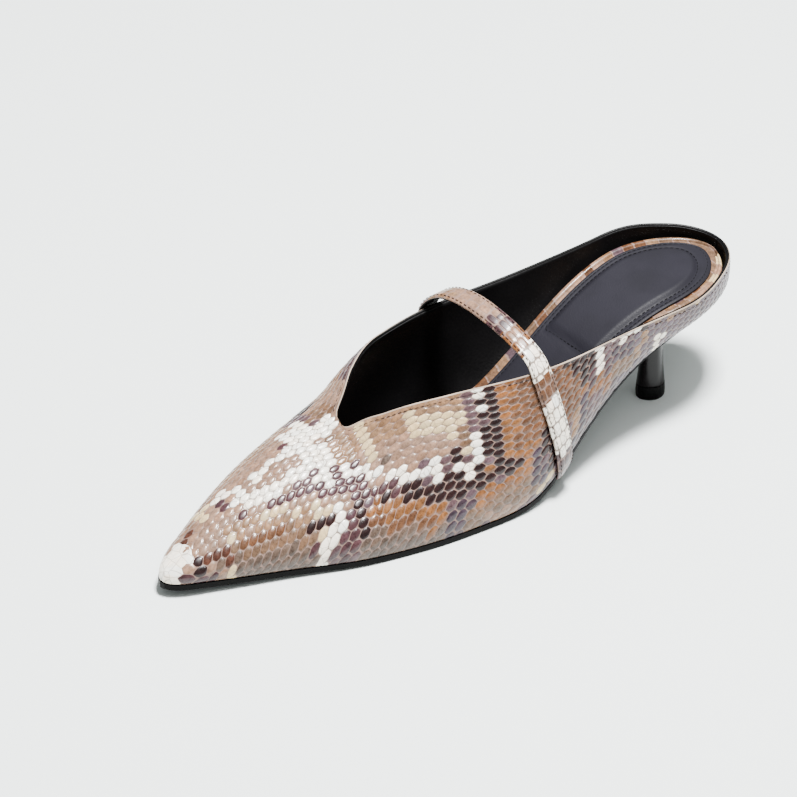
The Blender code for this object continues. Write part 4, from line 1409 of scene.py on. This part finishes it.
def skin_side(side, wall, lattice):
    """Points of the skin on one side, in columns and rows, and where the wall's edges cut them."""
    last = lattice.column[-1]
    columns = [i + step for i in range(int(last) + 1) for step in COLUMN_STEPS if i + step < last]
    columns = np.array(columns + [last])
    deepest = int(max(lattice.foot[side])) + 2
    rows = np.array([j + step for j in range(-1, deepest) for step in ROW_STEPS])
    column, row = np.meshgrid(columns, rows, indexing="ij")
    held = lattice.place(side, wall, column, row)[1]
    whole = np.floor(column + 1e-9)
    near_edge = 1 - np.minimum(np.abs(column - np.round(column)) * 2, 1)
    turn = 1 - 2 * (np.round(column) % 2)
    wave = np.abs(((held + 0.5) % 1) - 0.5) * 4 - 1
    shifted = np.clip(column - ZIGZAG * wave * turn * near_edge, 0, last)
    shifted = np.where((column <= 0) | (column >= last), column, shifted)
    u, final, rise, at_top, at_foot = lattice.place(side, wall, shifted, row)
    size = lattice.size_at(u)
    girth = wall.girth_at(u)
    point, normal, up = wall.at(u, rise / girth)
    half = 0.5 * (whole % 2)
    across = 2 * ((column - whole) % 1) - 1
    along = 2 * ((final + half) % 1) - 1
    height = scale_height(across, along) * size
    open_edge = (u < u_at(THROAT_POINT)).astype(float)
    fade = smooth(rise / EDGE_FADE) * (1 - open_edge * (1 - smooth((girth - rise) / EDGE_FADE)))
    fade = fade * smooth((TOE_PLAIN - np.interp(u, lattice.u, lattice.distance)) / TOE_PLAIN_RUN)
    point = point + normal * (height * fade)[..., None]
    return {
        "row": final, "u": u, "point": point, "normal": normal, "up": up,
        "columns": columns, "rows": rows, "at_top": at_top, "at_foot": at_foot,
    }


def fold_rows(part):
    """Rows of points that fold the skin over the wall's top edge, and which columns are open there."""
    ends = np.argmax(~part["at_top"], axis=1)
    index = np.arange(len(ends))
    top_index = np.maximum(ends - 1, 0)
    edge = part["point"][index, top_index]
    normal = part["normal"][index, top_index]
    up = part["up"][index, top_index]
    u = part["u"][index, top_index]
    rings = []
    for out, rise in EDGE_FOLD:
        rings.append(edge + normal * out + up * rise)
    return np.stack(rings, 1), top_index, u <= u_at(THROAT_POINT) + 1e-9


def build_skin(walls, lattice, lots, materials):
    """The scale-embossed leather of the upper, turned over at its edges."""
    points = []
    faces = []
    places = []
    tones = []
    pales = []
    slots = []
    offset = 0
    finishes = {}
    for side, wall in walls.items():
        part = skin_side(side, wall, lattice)
        n_col, n_row = part["row"].shape
        points.append(part["point"].reshape(-1, 3))
        ring, top_index, open_part = fold_rows(part)
        n_fold = ring.shape[1]
        fold_start = offset + n_col * n_row
        points.append(ring.reshape(-1, 3))
        columns, rows = part["columns"], part["rows"]
        for m in range(n_col - 1):
            i = int(columns[m] + 1e-9)
            half = 0.5 * (i % 2)
            for n in range(n_row - 1):
                if part["at_top"][m, n + 1] and part["at_top"][m + 1, n + 1]:
                    continue
                if part["at_foot"][m, n] and part["at_foot"][m + 1, n]:
                    break
                j = int(math.floor((rows[n] + rows[n + 1]) / 2 + half))
                corners = ((m, n), (m + 1, n), (m + 1, n + 1), (m, n + 1))
                if side == MEDIAL:
                    corners = corners[::-1]
                key = (i, j, side)
                if key not in finishes:
                    finishes[key] = cell_finish(key, half, walls, lattice, lots)
                faces.append([offset + a * n_row + b for a, b in corners])
                for a, b in corners:
                    places.append((columns[a] - i, part["row"][a, b] + half - j))
                tones.append(finishes[key][0])
                pales.append(finishes[key][1])
                slots.append(0)
            if open_part[m] and open_part[m + 1]:
                chain = []
                for a in (m, m + 1):
                    base = offset + a * n_row + top_index[a]
                    chain.append([base] + [fold_start + a * n_fold + k for k in range(n_fold)])
                for k in range(n_fold):
                    quad = [chain[0][k + 1], chain[1][k + 1], chain[1][k], chain[0][k]]
                    faces.append(quad if side == LATERAL else quad[::-1])
                    places.extend([(0.5, 0.5)] * 4)
                    tones.append(EDGE_TONE)
                    pales.append(0.2)
                    slots.append(1 if k < 2 else 2)
        offset += n_col * n_row + n_col * n_fold
    return join_skin(points, faces, places, tones, pales, slots, materials)


def cell_finish(key, half, walls, lattice, lots):
    """Finish of the scale in a column and row. One that straddles the ridge is the same on both sides."""
    i, j, side = key
    centre = j + 0.5 - half
    if centre <= 0.01:
        side = LATERAL
    u, _, rise = lattice.place(side, walls[side], i + 0.5, centre)[:3]
    lot = lots[i % LOT_COLUMNS, j % LOT_ROWS, 0 if side == LATERAL else 1]
    station = feather_point(side, float(u))[1] if u > 2 else station_at(float(u))
    tone = tone_at(side, station * 1000, float(rise) * 1000, lot[2])
    return scale_finish(tone, lot)


def join_skin(points, faces, places, tones, pales, slots, materials):
    """One mesh out of the skin's parts, with its doubled points made one."""
    points = np.concatenate(points)
    keys = np.round(points / MERGE).astype(np.int64)
    _, first, index = np.unique(keys, axis=0, return_index=True, return_inverse=True)
    index = index.reshape(-1)
    kept, kept_places, kept_tones, kept_pales, kept_slots = [], [], [], [], []
    place_at = 0
    for face, tone, pale, slot in zip(faces, tones, pales, slots):
        corners = []
        here = []
        for step, vertex in enumerate(face):
            merged = int(index[vertex])
            if merged not in corners:
                corners.append(merged)
                here.append(places[place_at + step])
        place_at += len(face)
        if len(corners) < 3:
            continue
        kept.append(corners)
        kept_places.extend(here)
        kept_tones.append(tone)
        kept_pales.append(pale)
        kept_slots.append(slot)
    used = np.unique(np.concatenate([np.array(f) for f in kept]))
    remap = np.full(len(first), -1)
    remap[used] = np.arange(len(used))
    final_faces = [[int(remap[v]) for v in face] for face in kept]
    skin = new_piece("upper_skin", points[first[used]], final_faces, materials, 180)
    paint(skin.data, kept_places, kept_tones, kept_pales)
    skin.data.polygons.foreach_set("material_index", np.array(kept_slots, np.int32))
    return skin


def build_lining(walls, material):
    """Smooth black lining inside the upper, a thin closed shell."""
    points = []
    faces = []
    offset = 0
    reaches = np.linspace(0, 1, LINING_ROWS)
    for side, wall in walls.items():
        u = wall.u[::2]
        if u[-1] < 3:
            u = np.append(u, 3.0)
        u = np.unique(np.append(u, u_at(THROAT_POINT)))
        grid_u, grid_reach = np.meshgrid(u, reaches, indexing="ij")
        point, normal = wall.at(grid_u, grid_reach)[:2]
        crease = LINING_CREASE * np.sin(grid_reach * 9 + grid_u * 31) * np.sin(grid_u * 47 + 1.3)
        crease = crease * smooth((grid_reach - 0.15) / 0.3) * smooth((0.9 - grid_reach) / 0.2)
        point = point - normal * (SKIN_THICKNESS + crease)[..., None]
        points.append(point.reshape(-1, 3))
        n = len(reaches)
        for m in range(len(u) - 1):
            for k in range(n - 1):
                near = offset + m * n + k
                far = near + n
                quad = [near, far, far + 1, near + 1]
                faces.append(quad[::-1] if side == LATERAL else quad)
        offset += len(u) * n
    lining = new_piece("upper_lining", np.concatenate(points), faces, (material,), 180)
    bm = bmesh.new()
    bm.from_mesh(lining.data)
    bmesh.ops.remove_doubles(bm, verts=bm.verts, dist=1e-6)
    bmesh.ops.dissolve_degenerate(bm, edges=bm.edges, dist=1e-7)
    bm.to_mesh(lining.data)
    bm.free()
    lining.data.shade_smooth()
    shell = lining.modifiers.new("shell", "SOLIDIFY")
    shell.thickness = LINING_THICKNESS
    shell.offset = -1
    return lining


# Stitches

def stitch_tree():
    """Stitches along curves: even steps, each a short round thread laid along the curve."""
    tree = bpy.data.node_groups.new("stitch_row", "GeometryNodeTree")
    face = tree.interface
    face.new_socket(name="Geometry", in_out="INPUT", socket_type="NodeSocketGeometry")
    for name, value in (("Pitch", 0.0025), ("Length", 0.0018), ("Thickness", 0.0003)):
        socket = face.new_socket(name=name, in_out="INPUT", socket_type="NodeSocketFloat")
        socket.default_value = value
    face.new_socket(name="Thread", in_out="INPUT", socket_type="NodeSocketMaterial")
    face.new_socket(name="Geometry", in_out="OUTPUT", socket_type="NodeSocketGeometry")
    nodes = tree.nodes
    inside = nodes.new("NodeGroupInput")
    outside = nodes.new("NodeGroupOutput")
    even = nodes.new("GeometryNodeResampleCurve")
    even.mode = "LENGTH"
    tangent = nodes.new("GeometryNodeInputTangent")
    align = nodes.new("FunctionNodeAlignRotationToVector")
    align.axis = "Z"
    thread = nodes.new("GeometryNodeMeshUVSphere")
    thread.inputs["Segments"].default_value = 6
    thread.inputs["Rings"].default_value = 4
    thread.inputs["Radius"].default_value = 0.5
    scale = nodes.new("ShaderNodeCombineXYZ")
    place = nodes.new("GeometryNodeInstanceOnPoints")
    real = nodes.new("GeometryNodeRealizeInstances")
    finish = nodes.new("GeometryNodeSetMaterial")
    wire(tree, inside.outputs["Geometry"], even.inputs["Curve"])
    wire(tree, inside.outputs["Pitch"], even.inputs["Length"])
    wire(tree, tangent.outputs[0], align.inputs["Vector"])
    wire(tree, inside.outputs["Thickness"], scale.inputs["X"])
    wire(tree, inside.outputs["Thickness"], scale.inputs["Y"])
    wire(tree, inside.outputs["Length"], scale.inputs["Z"])
    wire(tree, even.outputs["Curve"], place.inputs["Points"])
    wire(tree, thread.outputs["Mesh"], place.inputs["Instance"])
    wire(tree, align.outputs["Rotation"], place.inputs["Rotation"])
    wire(tree, scale.outputs["Vector"], place.inputs["Scale"])
    wire(tree, place.outputs["Instances"], real.inputs["Geometry"])
    wire(tree, real.outputs["Geometry"], finish.inputs["Geometry"])
    wire(tree, inside.outputs["Thread"], finish.inputs["Material"])
    wire(tree, finish.outputs["Geometry"], outside.inputs["Geometry"])
    return tree


def sew(name, paths, pitch, length, thickness, material):
    """A plain mesh of stitches along the given paths of world points."""
    curve = bpy.data.curves.new(name + "_path", "CURVE")
    curve.dimensions = "3D"
    for path in paths:
        spline = curve.splines.new("POLY")
        spline.points.add(len(path) - 1)
        for point, place in zip(spline.points, path):
            point.co = (*place, 1.0)
    holder = bpy.data.objects.new(name + "_path", curve)
    bpy.context.scene.collection.objects.link(holder)
    modifier = holder.modifiers.new("stitches", "NODES")
    tree = bpy.data.node_groups["stitch_row"]
    modifier.node_group = tree
    values = {"Pitch": pitch, "Length": length, "Thickness": thickness, "Thread": material}
    for socket in tree.interface.items_tree:
        if socket.item_type == "SOCKET" and socket.in_out == "INPUT" and socket.name in values:
            modifier[socket.identifier] = values[socket.name]
    bpy.context.view_layer.update()
    graph = bpy.context.evaluated_depsgraph_get()
    mesh = bpy.data.meshes.new_from_object(holder.evaluated_get(graph), depsgraph=graph)
    mesh.name = name
    if not mesh.materials:
        mesh.materials.append(material)
    piece = bpy.data.objects.new(name, mesh)
    bpy.context.scene.collection.objects.link(piece)
    bpy.data.objects.remove(holder, do_unlink=True)
    mesh.shade_smooth()
    return piece


def topline_path(wall, below, out):
    """World points along the skin, a set distance below the topline, from the throat to the back."""
    u = np.linspace(u_at(THROAT_POINT - 0.0010), 0.0, 260)
    girth = wall.girth_at(u)
    point, normal = wall.at(u, 1 - below / girth)[:2]
    return point + normal * out


# Sock, insole and strap

def footbed_rows(front, count, inset):
    """Left and right edges of the footbed along its length, from the back to the front."""
    spread = np.concatenate((np.linspace(0, 1, count // 3)[:-1], np.linspace(1, u_at(front), count)))
    rows = []
    for u in spread:
        rows.append((footbed_edge(MEDIAL, u, 0.0, inset), footbed_edge(LATERAL, u, 0.0, inset)))
    return rows


def pad_outline():
    """Plan outline of the padded heel area, closed, in the shoe's own terms."""
    back = []
    for u in np.linspace(0, 1, 25)[:-1]:
        widths = [BALL_HALF_WIDTH * FOOTBED.read(side_name(side), HEEL_TURN) for side in (MEDIAL, LATERAL)]
        back.append([
            heel_curve(side, u, width - PAD_INSET, PAD_BACK, INSOLE_FULLNESS)[:2]
            for side, width in zip((MEDIAL, LATERAL), widths)
        ])
    for u in np.linspace(1, u_at(PAD_FRONT), 20):
        lead = (u - 1) / (u_at(PAD_FRONT) - 1)
        pair = []
        for side in (MEDIAL, LATERAL):
            point = footbed_edge(side, u, 0.0, PAD_INSET)[:2]
            slant = PAD_FRONT_SLANT * lead ** 6 * (1 if side == MEDIAL else -1)
            pair.append(point + np.array((0.0, slant)))
        back.append(pair)
    medial = [pair[0] for pair in back]
    lateral = [pair[1] for pair in back]
    return np.array(medial + lateral[::-1])


def outline_depth(points, outline):
    """Distance inside a closed plan outline, negative outside it."""
    points = np.asarray(points)
    best = np.full(len(points), 1.0)
    inside = np.zeros(len(points), bool)
    for a, b in zip(outline, np.roll(outline, -1, axis=0)):
        run = b - a
        length = float(run @ run)
        if length < 1e-14:
            continue
        share = np.clip(((points - a) @ run) / length, 0, 1)
        best = np.minimum(best, np.linalg.norm(points - a - share[:, None] * run, axis=1))
        crosses = (a[1] > points[:, 1]) != (b[1] > points[:, 1])
        with np.errstate(divide="ignore", invalid="ignore"):
            meet = a[0] + (points[:, 1] - a[1]) / (b[1] - a[1]) * run[0]
        inside ^= crosses & (points[:, 0] < meet)
    return np.where(inside, best, -best)


def build_sock(material):
    """The smooth sock with its raised, stitched heel pad and a stitched edge."""
    outline = pad_outline()
    rows = footbed_rows(SOCK_FRONT, 130, SOCK_INSET + SOCK_TRIM)
    shares = 0.5 - 0.5 * np.cos(np.linspace(0, math.pi, 61))
    ring_rows = []
    for left, right in rows:
        span = max(np.linalg.norm(right - left), 1e-6)
        top = left + (right - left) * shares[:, None]
        depth = outline_depth(top[:, :2], outline)
        from_edge = np.minimum(shares, 1 - shares) * span
        top[:, 2] += PAD_RAISE * smooth(depth / PAD_SOFT_EDGE)
        top[:, 2] -= SEAM_DEPTH * np.exp(-((depth + SEAM_OFFSET) / SEAM_WIDTH) ** 2)
        rim_seam = np.exp(-((from_edge - SOCK_STITCH_INSET) / SOCK_SEAM_WIDTH) ** 2)
        top[:, 2] -= SEAM_DEPTH * SOCK_SEAM_SHARE * rim_seam
        top[:, 2] -= SOCK_THICKNESS * SOCK_EDGE_DROP * (1 - smooth(from_edge / SOCK_EDGE_ROUND))
        under = left + (right - left) * np.array((1.0, 0.5, 0.0))[:, None]
        under[:, 2] -= SOCK_THICKNESS
        ring_rows.append(np.concatenate((top, under)))
    count = len(ring_rows[0])
    sock = new_piece(
        "sock_leather", worlds(np.concatenate(ring_rows)), closed_faces(len(ring_rows), count), (material,),
    )
    outward_faces(sock)
    return sock


def sock_paths():
    """World paths of the sock's edge stitching and of the pad's outline."""
    outline = pad_outline()
    rim = []
    for side in (MEDIAL, LATERAL):
        path = []
        for u in np.linspace(0.0, u_at(SOCK_FRONT - 0.004), 150):
            point = footbed_edge(side, u, 0.0, SOCK_INSET + SOCK_TRIM + SOCK_STITCH_INSET)
            path.append(point + np.array((0, 0, -0.00005)))
        rim.append(worlds(path))
    pad = []
    for place in outline:
        height = footbed_height(place[0], place[1])
        pad.append((place[0], place[1], height + 0.00002))
    pad.append(pad[0])
    return rim, [worlds(pad)]


def build_insole_wrap(material, lots):
    """The insole's edge, wrapped in the embossed leather, with a rounded rim round the sock."""
    rows = footbed_rows(INSOLE_FRONT, 150, 0.0)
    ring_rows = []
    for left, right in rows:
        face = (right - left) / max(np.linalg.norm(right - left), 1e-9)
        section_points = []
        for edge, inward in ((left, face), (right, -face)):
            side_points = [edge + inward * inset - np.array((0, 0, drop)) for inset, drop in INSOLE_RIM]
            section_points.append(side_points)
        low_left = sole_rest(section_points[0][-1])
        low_right = sole_rest(section_points[1][-1])
        ring = section_points[0][::-1] + section_points[1] + [low_right, low_left]
        ring_rows.append(np.array(ring))
    count = len(ring_rows[0])
    points = worlds(np.concatenate(ring_rows))
    faces = closed_faces(len(ring_rows), count)
    wrap = new_piece("insole_wrap", points, faces, (material,), 60)
    outward_faces(wrap)
    paint_strip(wrap.data, INSOLE_TONES, lots)
    return wrap


def sole_rest(point):
    """The place straight below a footbed point, just clear of the outsole."""
    low = point.copy()
    low[2] = max(sole_top(point[0], max(point[1], 0.0085))[0] + 2 * CLEARANCE, 0.0)
    return low


def paint_strip(mesh, tones, lots):
    """Scales on a narrow strip, by its place along the shoe."""
    places = []
    face_tones = []
    pales = []
    for polygon in mesh.polygons:
        centre = polygon.center
        side = 0 if centre.x > 0 else 1
        i = int(math.floor((centre.y + STRIP_START) / STRIP_PITCH))
        lot = lots[i % LOT_COLUMNS, 7, side]
        tone = tones[int(lot[2] * len(tones)) % len(tones)]
        finish = scale_finish(tone, lot)
        face_tones.append(finish[0])
        pales.append(finish[1])
        for index in polygon.vertices:
            place = mesh.vertices[index].co
            places.append(((place.y + STRIP_START) / STRIP_PITCH - i, 0.5))
    paint(mesh, places, face_tones, pales)


def strap_frames():
    """Rear, middle and front lines of the strap's inner face, and the way it faces."""
    rear, centre, front = (smooth_run(strap_rail(share), STRAP_STEPS) for share in (-1, 0, 1))
    frames = []
    for i in range(STRAP_STEPS):
        along = centre[min(i + 1, STRAP_STEPS - 1)] - centre[max(i - 1, 0)]
        facing = np.cross(front[i] - rear[i], along)
        frames.append((rear[i], centre[i], front[i], facing / np.linalg.norm(facing)))
    return frames


def strap_point(frame_row, share, lift):
    """A place over the strap's inner face: share -1 to 1 from rear to front edge."""
    rear, centre, front, facing = frame_row
    edge = front if share >= 0 else rear
    return centre + (edge - centre) * abs(share) + facing * lift


def strap_profile():
    """Cross section of the strap: share of its half width, and lift over its inner face."""
    top = []
    for share in np.linspace(-0.97, 0.97, 23):
        top.append((share, STRAP_THICKNESS * (STRAP_SHOULDER + STRAP_CROWN * (1 - abs(share) ** 5))))
    edge = STRAP_THICKNESS * STRAP_UNDER
    return top + [(1.0, edge), (0.93, 0.0), (0.0, 0.0), (-0.93, 0.0), (-1.0, edge)]


def strap_row(share, column):
    """Row of scales across the strap at a share of its half width, in a column."""
    return share * STRAP_ROWS + 0.5 * (column % 2) + STRAP_ROW_START


def strap_tone(share, lot):
    """Tone name at a share of the strap's length."""
    for limit, tone in STRAP_TONES:
        if share + (lot - 0.5) * STRAP_TONE_RAGGED < limit:
            return tone
    return STRAP_TONES[-1][1]


def build_strap(material, under_material, lots):
    """The strap: embossed leather folded round its edges, with a plain black underside."""
    frames = strap_frames()
    middles = np.array([row[1] for row in frames])
    lengths = np.concatenate(([0.0], np.cumsum(np.linalg.norm(np.diff(middles, axis=0), axis=1))))
    profile = strap_profile()
    points = []
    for row, length in zip(frames, lengths):
        for share, lift in profile:
            if lift > STRAP_THICKNESS * 0.45:
                column = length / STRAP_SCALE
                across = 2 * (column % 1) - 1
                along = 2 * (strap_row(share, int(column)) % 1) - 1
                fade = smooth((1 - abs(share)) / STRAP_RELIEF_FADE)
                lift += STRAP_RELIEF * float(scale_height(across, along)) * fade - STRAP_RELIEF_DROP
                lift -= STRAP_SEAM_DEPTH * np.exp(-((abs(share) - STRAP_STITCH) / STRAP_SEAM_WIDTH) ** 2)
            points.append(strap_point(row, share, lift))
    count = len(profile)
    faces = closed_faces(len(frames), count)
    strap = new_piece("strap_leather", worlds(points), faces, (material, under_material), 60)
    mesh = strap.data
    places = []
    tones = []
    pales = []
    for polygon in mesh.polygons:
        ids = [v % count for v in polygon.vertices]
        rows = [v // count for v in polygon.vertices]
        row = min(rows)
        i = int(lengths[row] / STRAP_SCALE + 1e-6)
        share = np.mean([profile[k][0] for k in ids])
        j = int(math.floor(strap_row(share, i)))
        lot = lots[i % LOT_COLUMNS, j % LOT_ROWS, 1]
        finish = scale_finish(strap_tone(lengths[row] / lengths[-1], lot[2]), lot)
        tones.append(finish[0])
        pales.append(finish[1])
        under = len(ids) == 4 and all(profile[k][1] <= STRAP_THICKNESS * 0.31 for k in ids)
        polygon.material_index = 1 if under else 0
        for k, r in zip(ids, rows):
            places.append((lengths[r] / STRAP_SCALE - i, strap_row(profile[k][0], i) - j))
    paint(mesh, places, tones, pales)
    bm = bmesh.new()
    bm.from_mesh(mesh)
    bmesh.ops.recalc_face_normals(bm, faces=bm.faces)
    if bm.calc_volume(signed=True) < 0:
        bmesh.ops.reverse_faces(bm, faces=bm.faces)
    bm.to_mesh(mesh)
    bm.free()
    return strap


def strap_paths():
    frames = strap_frames()
    paths = []
    for share in (-STRAP_STITCH, STRAP_STITCH):
        paths.append(worlds([strap_point(row, share, STRAP_THICKNESS * 0.93) for row in frames[2:-2]]))
    return paths


def build_heel_block(material):
    """The heel, finer than its solid: a lacquered stem that swells into the seat."""
    bottom = TOP_PIECE_HEIGHT + CLEARANCE
    levels = Table(("level", "spread", "slim"), HEEL_SECTIONS)
    count = 72
    rows = []
    for level in np.concatenate((np.linspace(0, 0.3, 16)[:-1], np.linspace(0.3, 0.985, 22), (0.997, 1.0))):
        spread = max(levels.read("spread", level * SHOE_LENGTH), 0.0)
        slim = levels.read("slim", level * SHOE_LENGTH) - (0.012 if level > 0.999 else 0.0)
        length = HEEL_BASE_LENGTH * slim + (HEEL_SEAT_LENGTH - HEEL_BASE_LENGTH) * spread
        width = HEEL_BASE_WIDTH * slim + (HEEL_SEAT_WIDTH - HEEL_BASE_WIDTH) * spread
        ring = oval(length, width, 0.0, count)
        for point in ring:
            seat = sole_underside(point[0], point[1]) - CLEARANCE
            point[2] = seat + (bottom - seat) * level
        rows.append(ring)
    points = worlds(np.concatenate([np.array(row) for row in rows]))
    heel = new_piece("heel_block", points, closed_faces(len(rows), count), (material,))
    outward_faces(heel)
    return heel


# Stage

def build_floor():
    mesh = bpy.data.meshes.new("floor")
    corners = [(x * FLOOR_REACH, y * FLOOR_REACH, 0) for x, y in ((-1, -1), (1, -1), (1, 1), (-1, 1))]
    mesh.from_pydata(corners, [], [(0, 1, 2, 3)])
    material = new_material("pale_floor", FLOOR_TONE, FLOOR_ROUGHNESS)
    mesh.materials.append(material)
    floor = bpy.data.objects.new("floor", mesh)
    bpy.context.scene.collection.objects.link(floor)


def add_light(name, place, target, size, power):
    light = bpy.data.lights.new(name, "AREA")
    light.shape = "RECTANGLE"
    light.size, light.size_y = size
    light.energy = power
    lamp = bpy.data.objects.new(name, light)
    lamp.location = place
    lamp.rotation_euler = (Vector(target) - Vector(place)).to_track_quat("-Z", "Y").to_euler()
    bpy.context.scene.collection.objects.link(lamp)


def add_camera():
    camera = bpy.data.cameras.new("photo_view")
    camera.lens = CAMERA_LENS
    camera.sensor_width = 36.0
    camera.clip_end = 20.0
    holder = bpy.data.objects.new("photo_view", camera)
    azimuth, elevation = math.radians(CAMERA_AZIMUTH), math.radians(CAMERA_ELEVATION)
    target = Vector(world(CAMERA_TARGET))
    level = math.cos(elevation)
    way = Vector((math.sin(azimuth) * level, -math.cos(azimuth) * level, math.sin(elevation)))
    holder.location = target + way * CAMERA_DISTANCE
    holder.rotation_euler = (-way).to_track_quat("-Z", "Y").to_euler()
    bpy.context.scene.collection.objects.link(holder)
    bpy.context.scene.camera = holder


def light_the_room():
    room = bpy.data.worlds.new("studio")
    room.use_nodes = True
    back = room.node_tree.nodes["Background"]
    back.inputs["Color"].default_value = (*ROOM_TONE, 1.0)
    back.inputs["Strength"].default_value = ROOM_STRENGTH
    bpy.context.scene.world = room
    add_light("key", KEY_PLACE, (0, 0, 0), KEY_SIZE, KEY_POWER)
    add_light("strip", SIDE_LIGHT_PLACE, (0, 0, 0), SIDE_LIGHT_SIZE, SIDE_LIGHT_POWER)


FOOTPRINT = footprint_centre()

WALLS = {LATERAL: Wall(LATERAL), MEDIAL: Wall(MEDIAL)}
LATTICE = Lattice(WALLS)
LOTS = np.random.default_rng(SEED).random((LOT_COLUMNS, LOT_ROWS, 2, 3))

grain_group()
scale_group()
stitch_tree()

upper_leather = embossed_leather("embossed_leather")
strip_leather = embossed_leather("strap_embossed_leather", 0.16)
edge_leather = grained("raw_edge", EDGE_TONE, 0.55, 0.3)
lining_leather = grained("lining_leather", (0.0022, 0.0020, 0.0022), 0.40, 0.5, gloss=0.16)
sock_finish = grained("sock_leather", SOCK_TONE, 0.50, 0.35, cloud=0.12, gloss=0.12, size=1900.0)
under_leather = grained("strap_backing", (0.0025, 0.0022, 0.0024), 0.5, 0.4, gloss=0.1)
lacquer = grained(
    "heel_lacquer", (0.0030, 0.0013, 0.0018), 0.18, 0.02, gloss=0.16, coat=0.06, coat_roughness=0.05,
)
sole_finish = grained("sole_edge_finish", (0.0012, 0.0010, 0.0012), 0.42, 0.25, gloss=0.05)
rubber = grained("top_piece_rubber", (0.0014, 0.0012, 0.0014), 0.40, 0.3, gloss=0.07)
dark_thread = grained("dark_thread", THREAD_TONE, 0.6, 0.2, gloss=0.1)
sock_thread = grained("sock_thread", (0.0045, 0.0042, 0.0055), 0.6, 0.2, gloss=0.1)

skin = build_skin(WALLS, LATTICE, LOTS, (upper_leather, edge_leather, lining_leather))
lining = build_lining(WALLS, lining_leather)
topline_stitches = sew(
    "topline_stitches",
    [topline_path(WALLS[LATERAL], STITCH_BELOW, 0.00002), topline_path(WALLS[MEDIAL], STITCH_BELOW, 0.00002)],
    STITCH_PITCH, STITCH_LENGTH, STITCH_THICKNESS, dark_thread,
)
sock = build_sock(sock_finish)
rim_paths, pad_paths = sock_paths()
sock_stitches = sew("sock_stitches", rim_paths + pad_paths, *SOCK_STITCH, sock_thread)
insole_wrap = build_insole_wrap(strip_leather, LOTS)
strap = build_strap(strip_leather, under_leather, LOTS)
strap_stitches = sew(
    "strap_stitches", strap_paths(), STITCH_PITCH, STITCH_LENGTH, STITCH_THICKNESS, dark_thread,
)
heel_block = build_heel_block(lacquer)

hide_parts("upper")
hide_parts("sock")
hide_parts("insole")
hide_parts("strap")
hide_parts("heel")
for piece, slot in (
    (skin, "embossed_leather"), (lining, "black_sole"), (topline_stitches, "embossed_leather"),
    (sock, "sock_leather"), (sock_stitches, "sock_leather"), (insole_wrap, "embossed_leather"),
    (strap, "embossed_leather"), (strap_stitches, "embossed_leather"), (heel_block, "black_gloss"),
):
    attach(piece, "root")
for node, finish in (("outsole", sole_finish), ("top_piece", rubber)):
    for material_slot in frame["nodes"][node].material_slots:
        material_slot.material = finish

build_floor()
light_the_room()
add_camera()
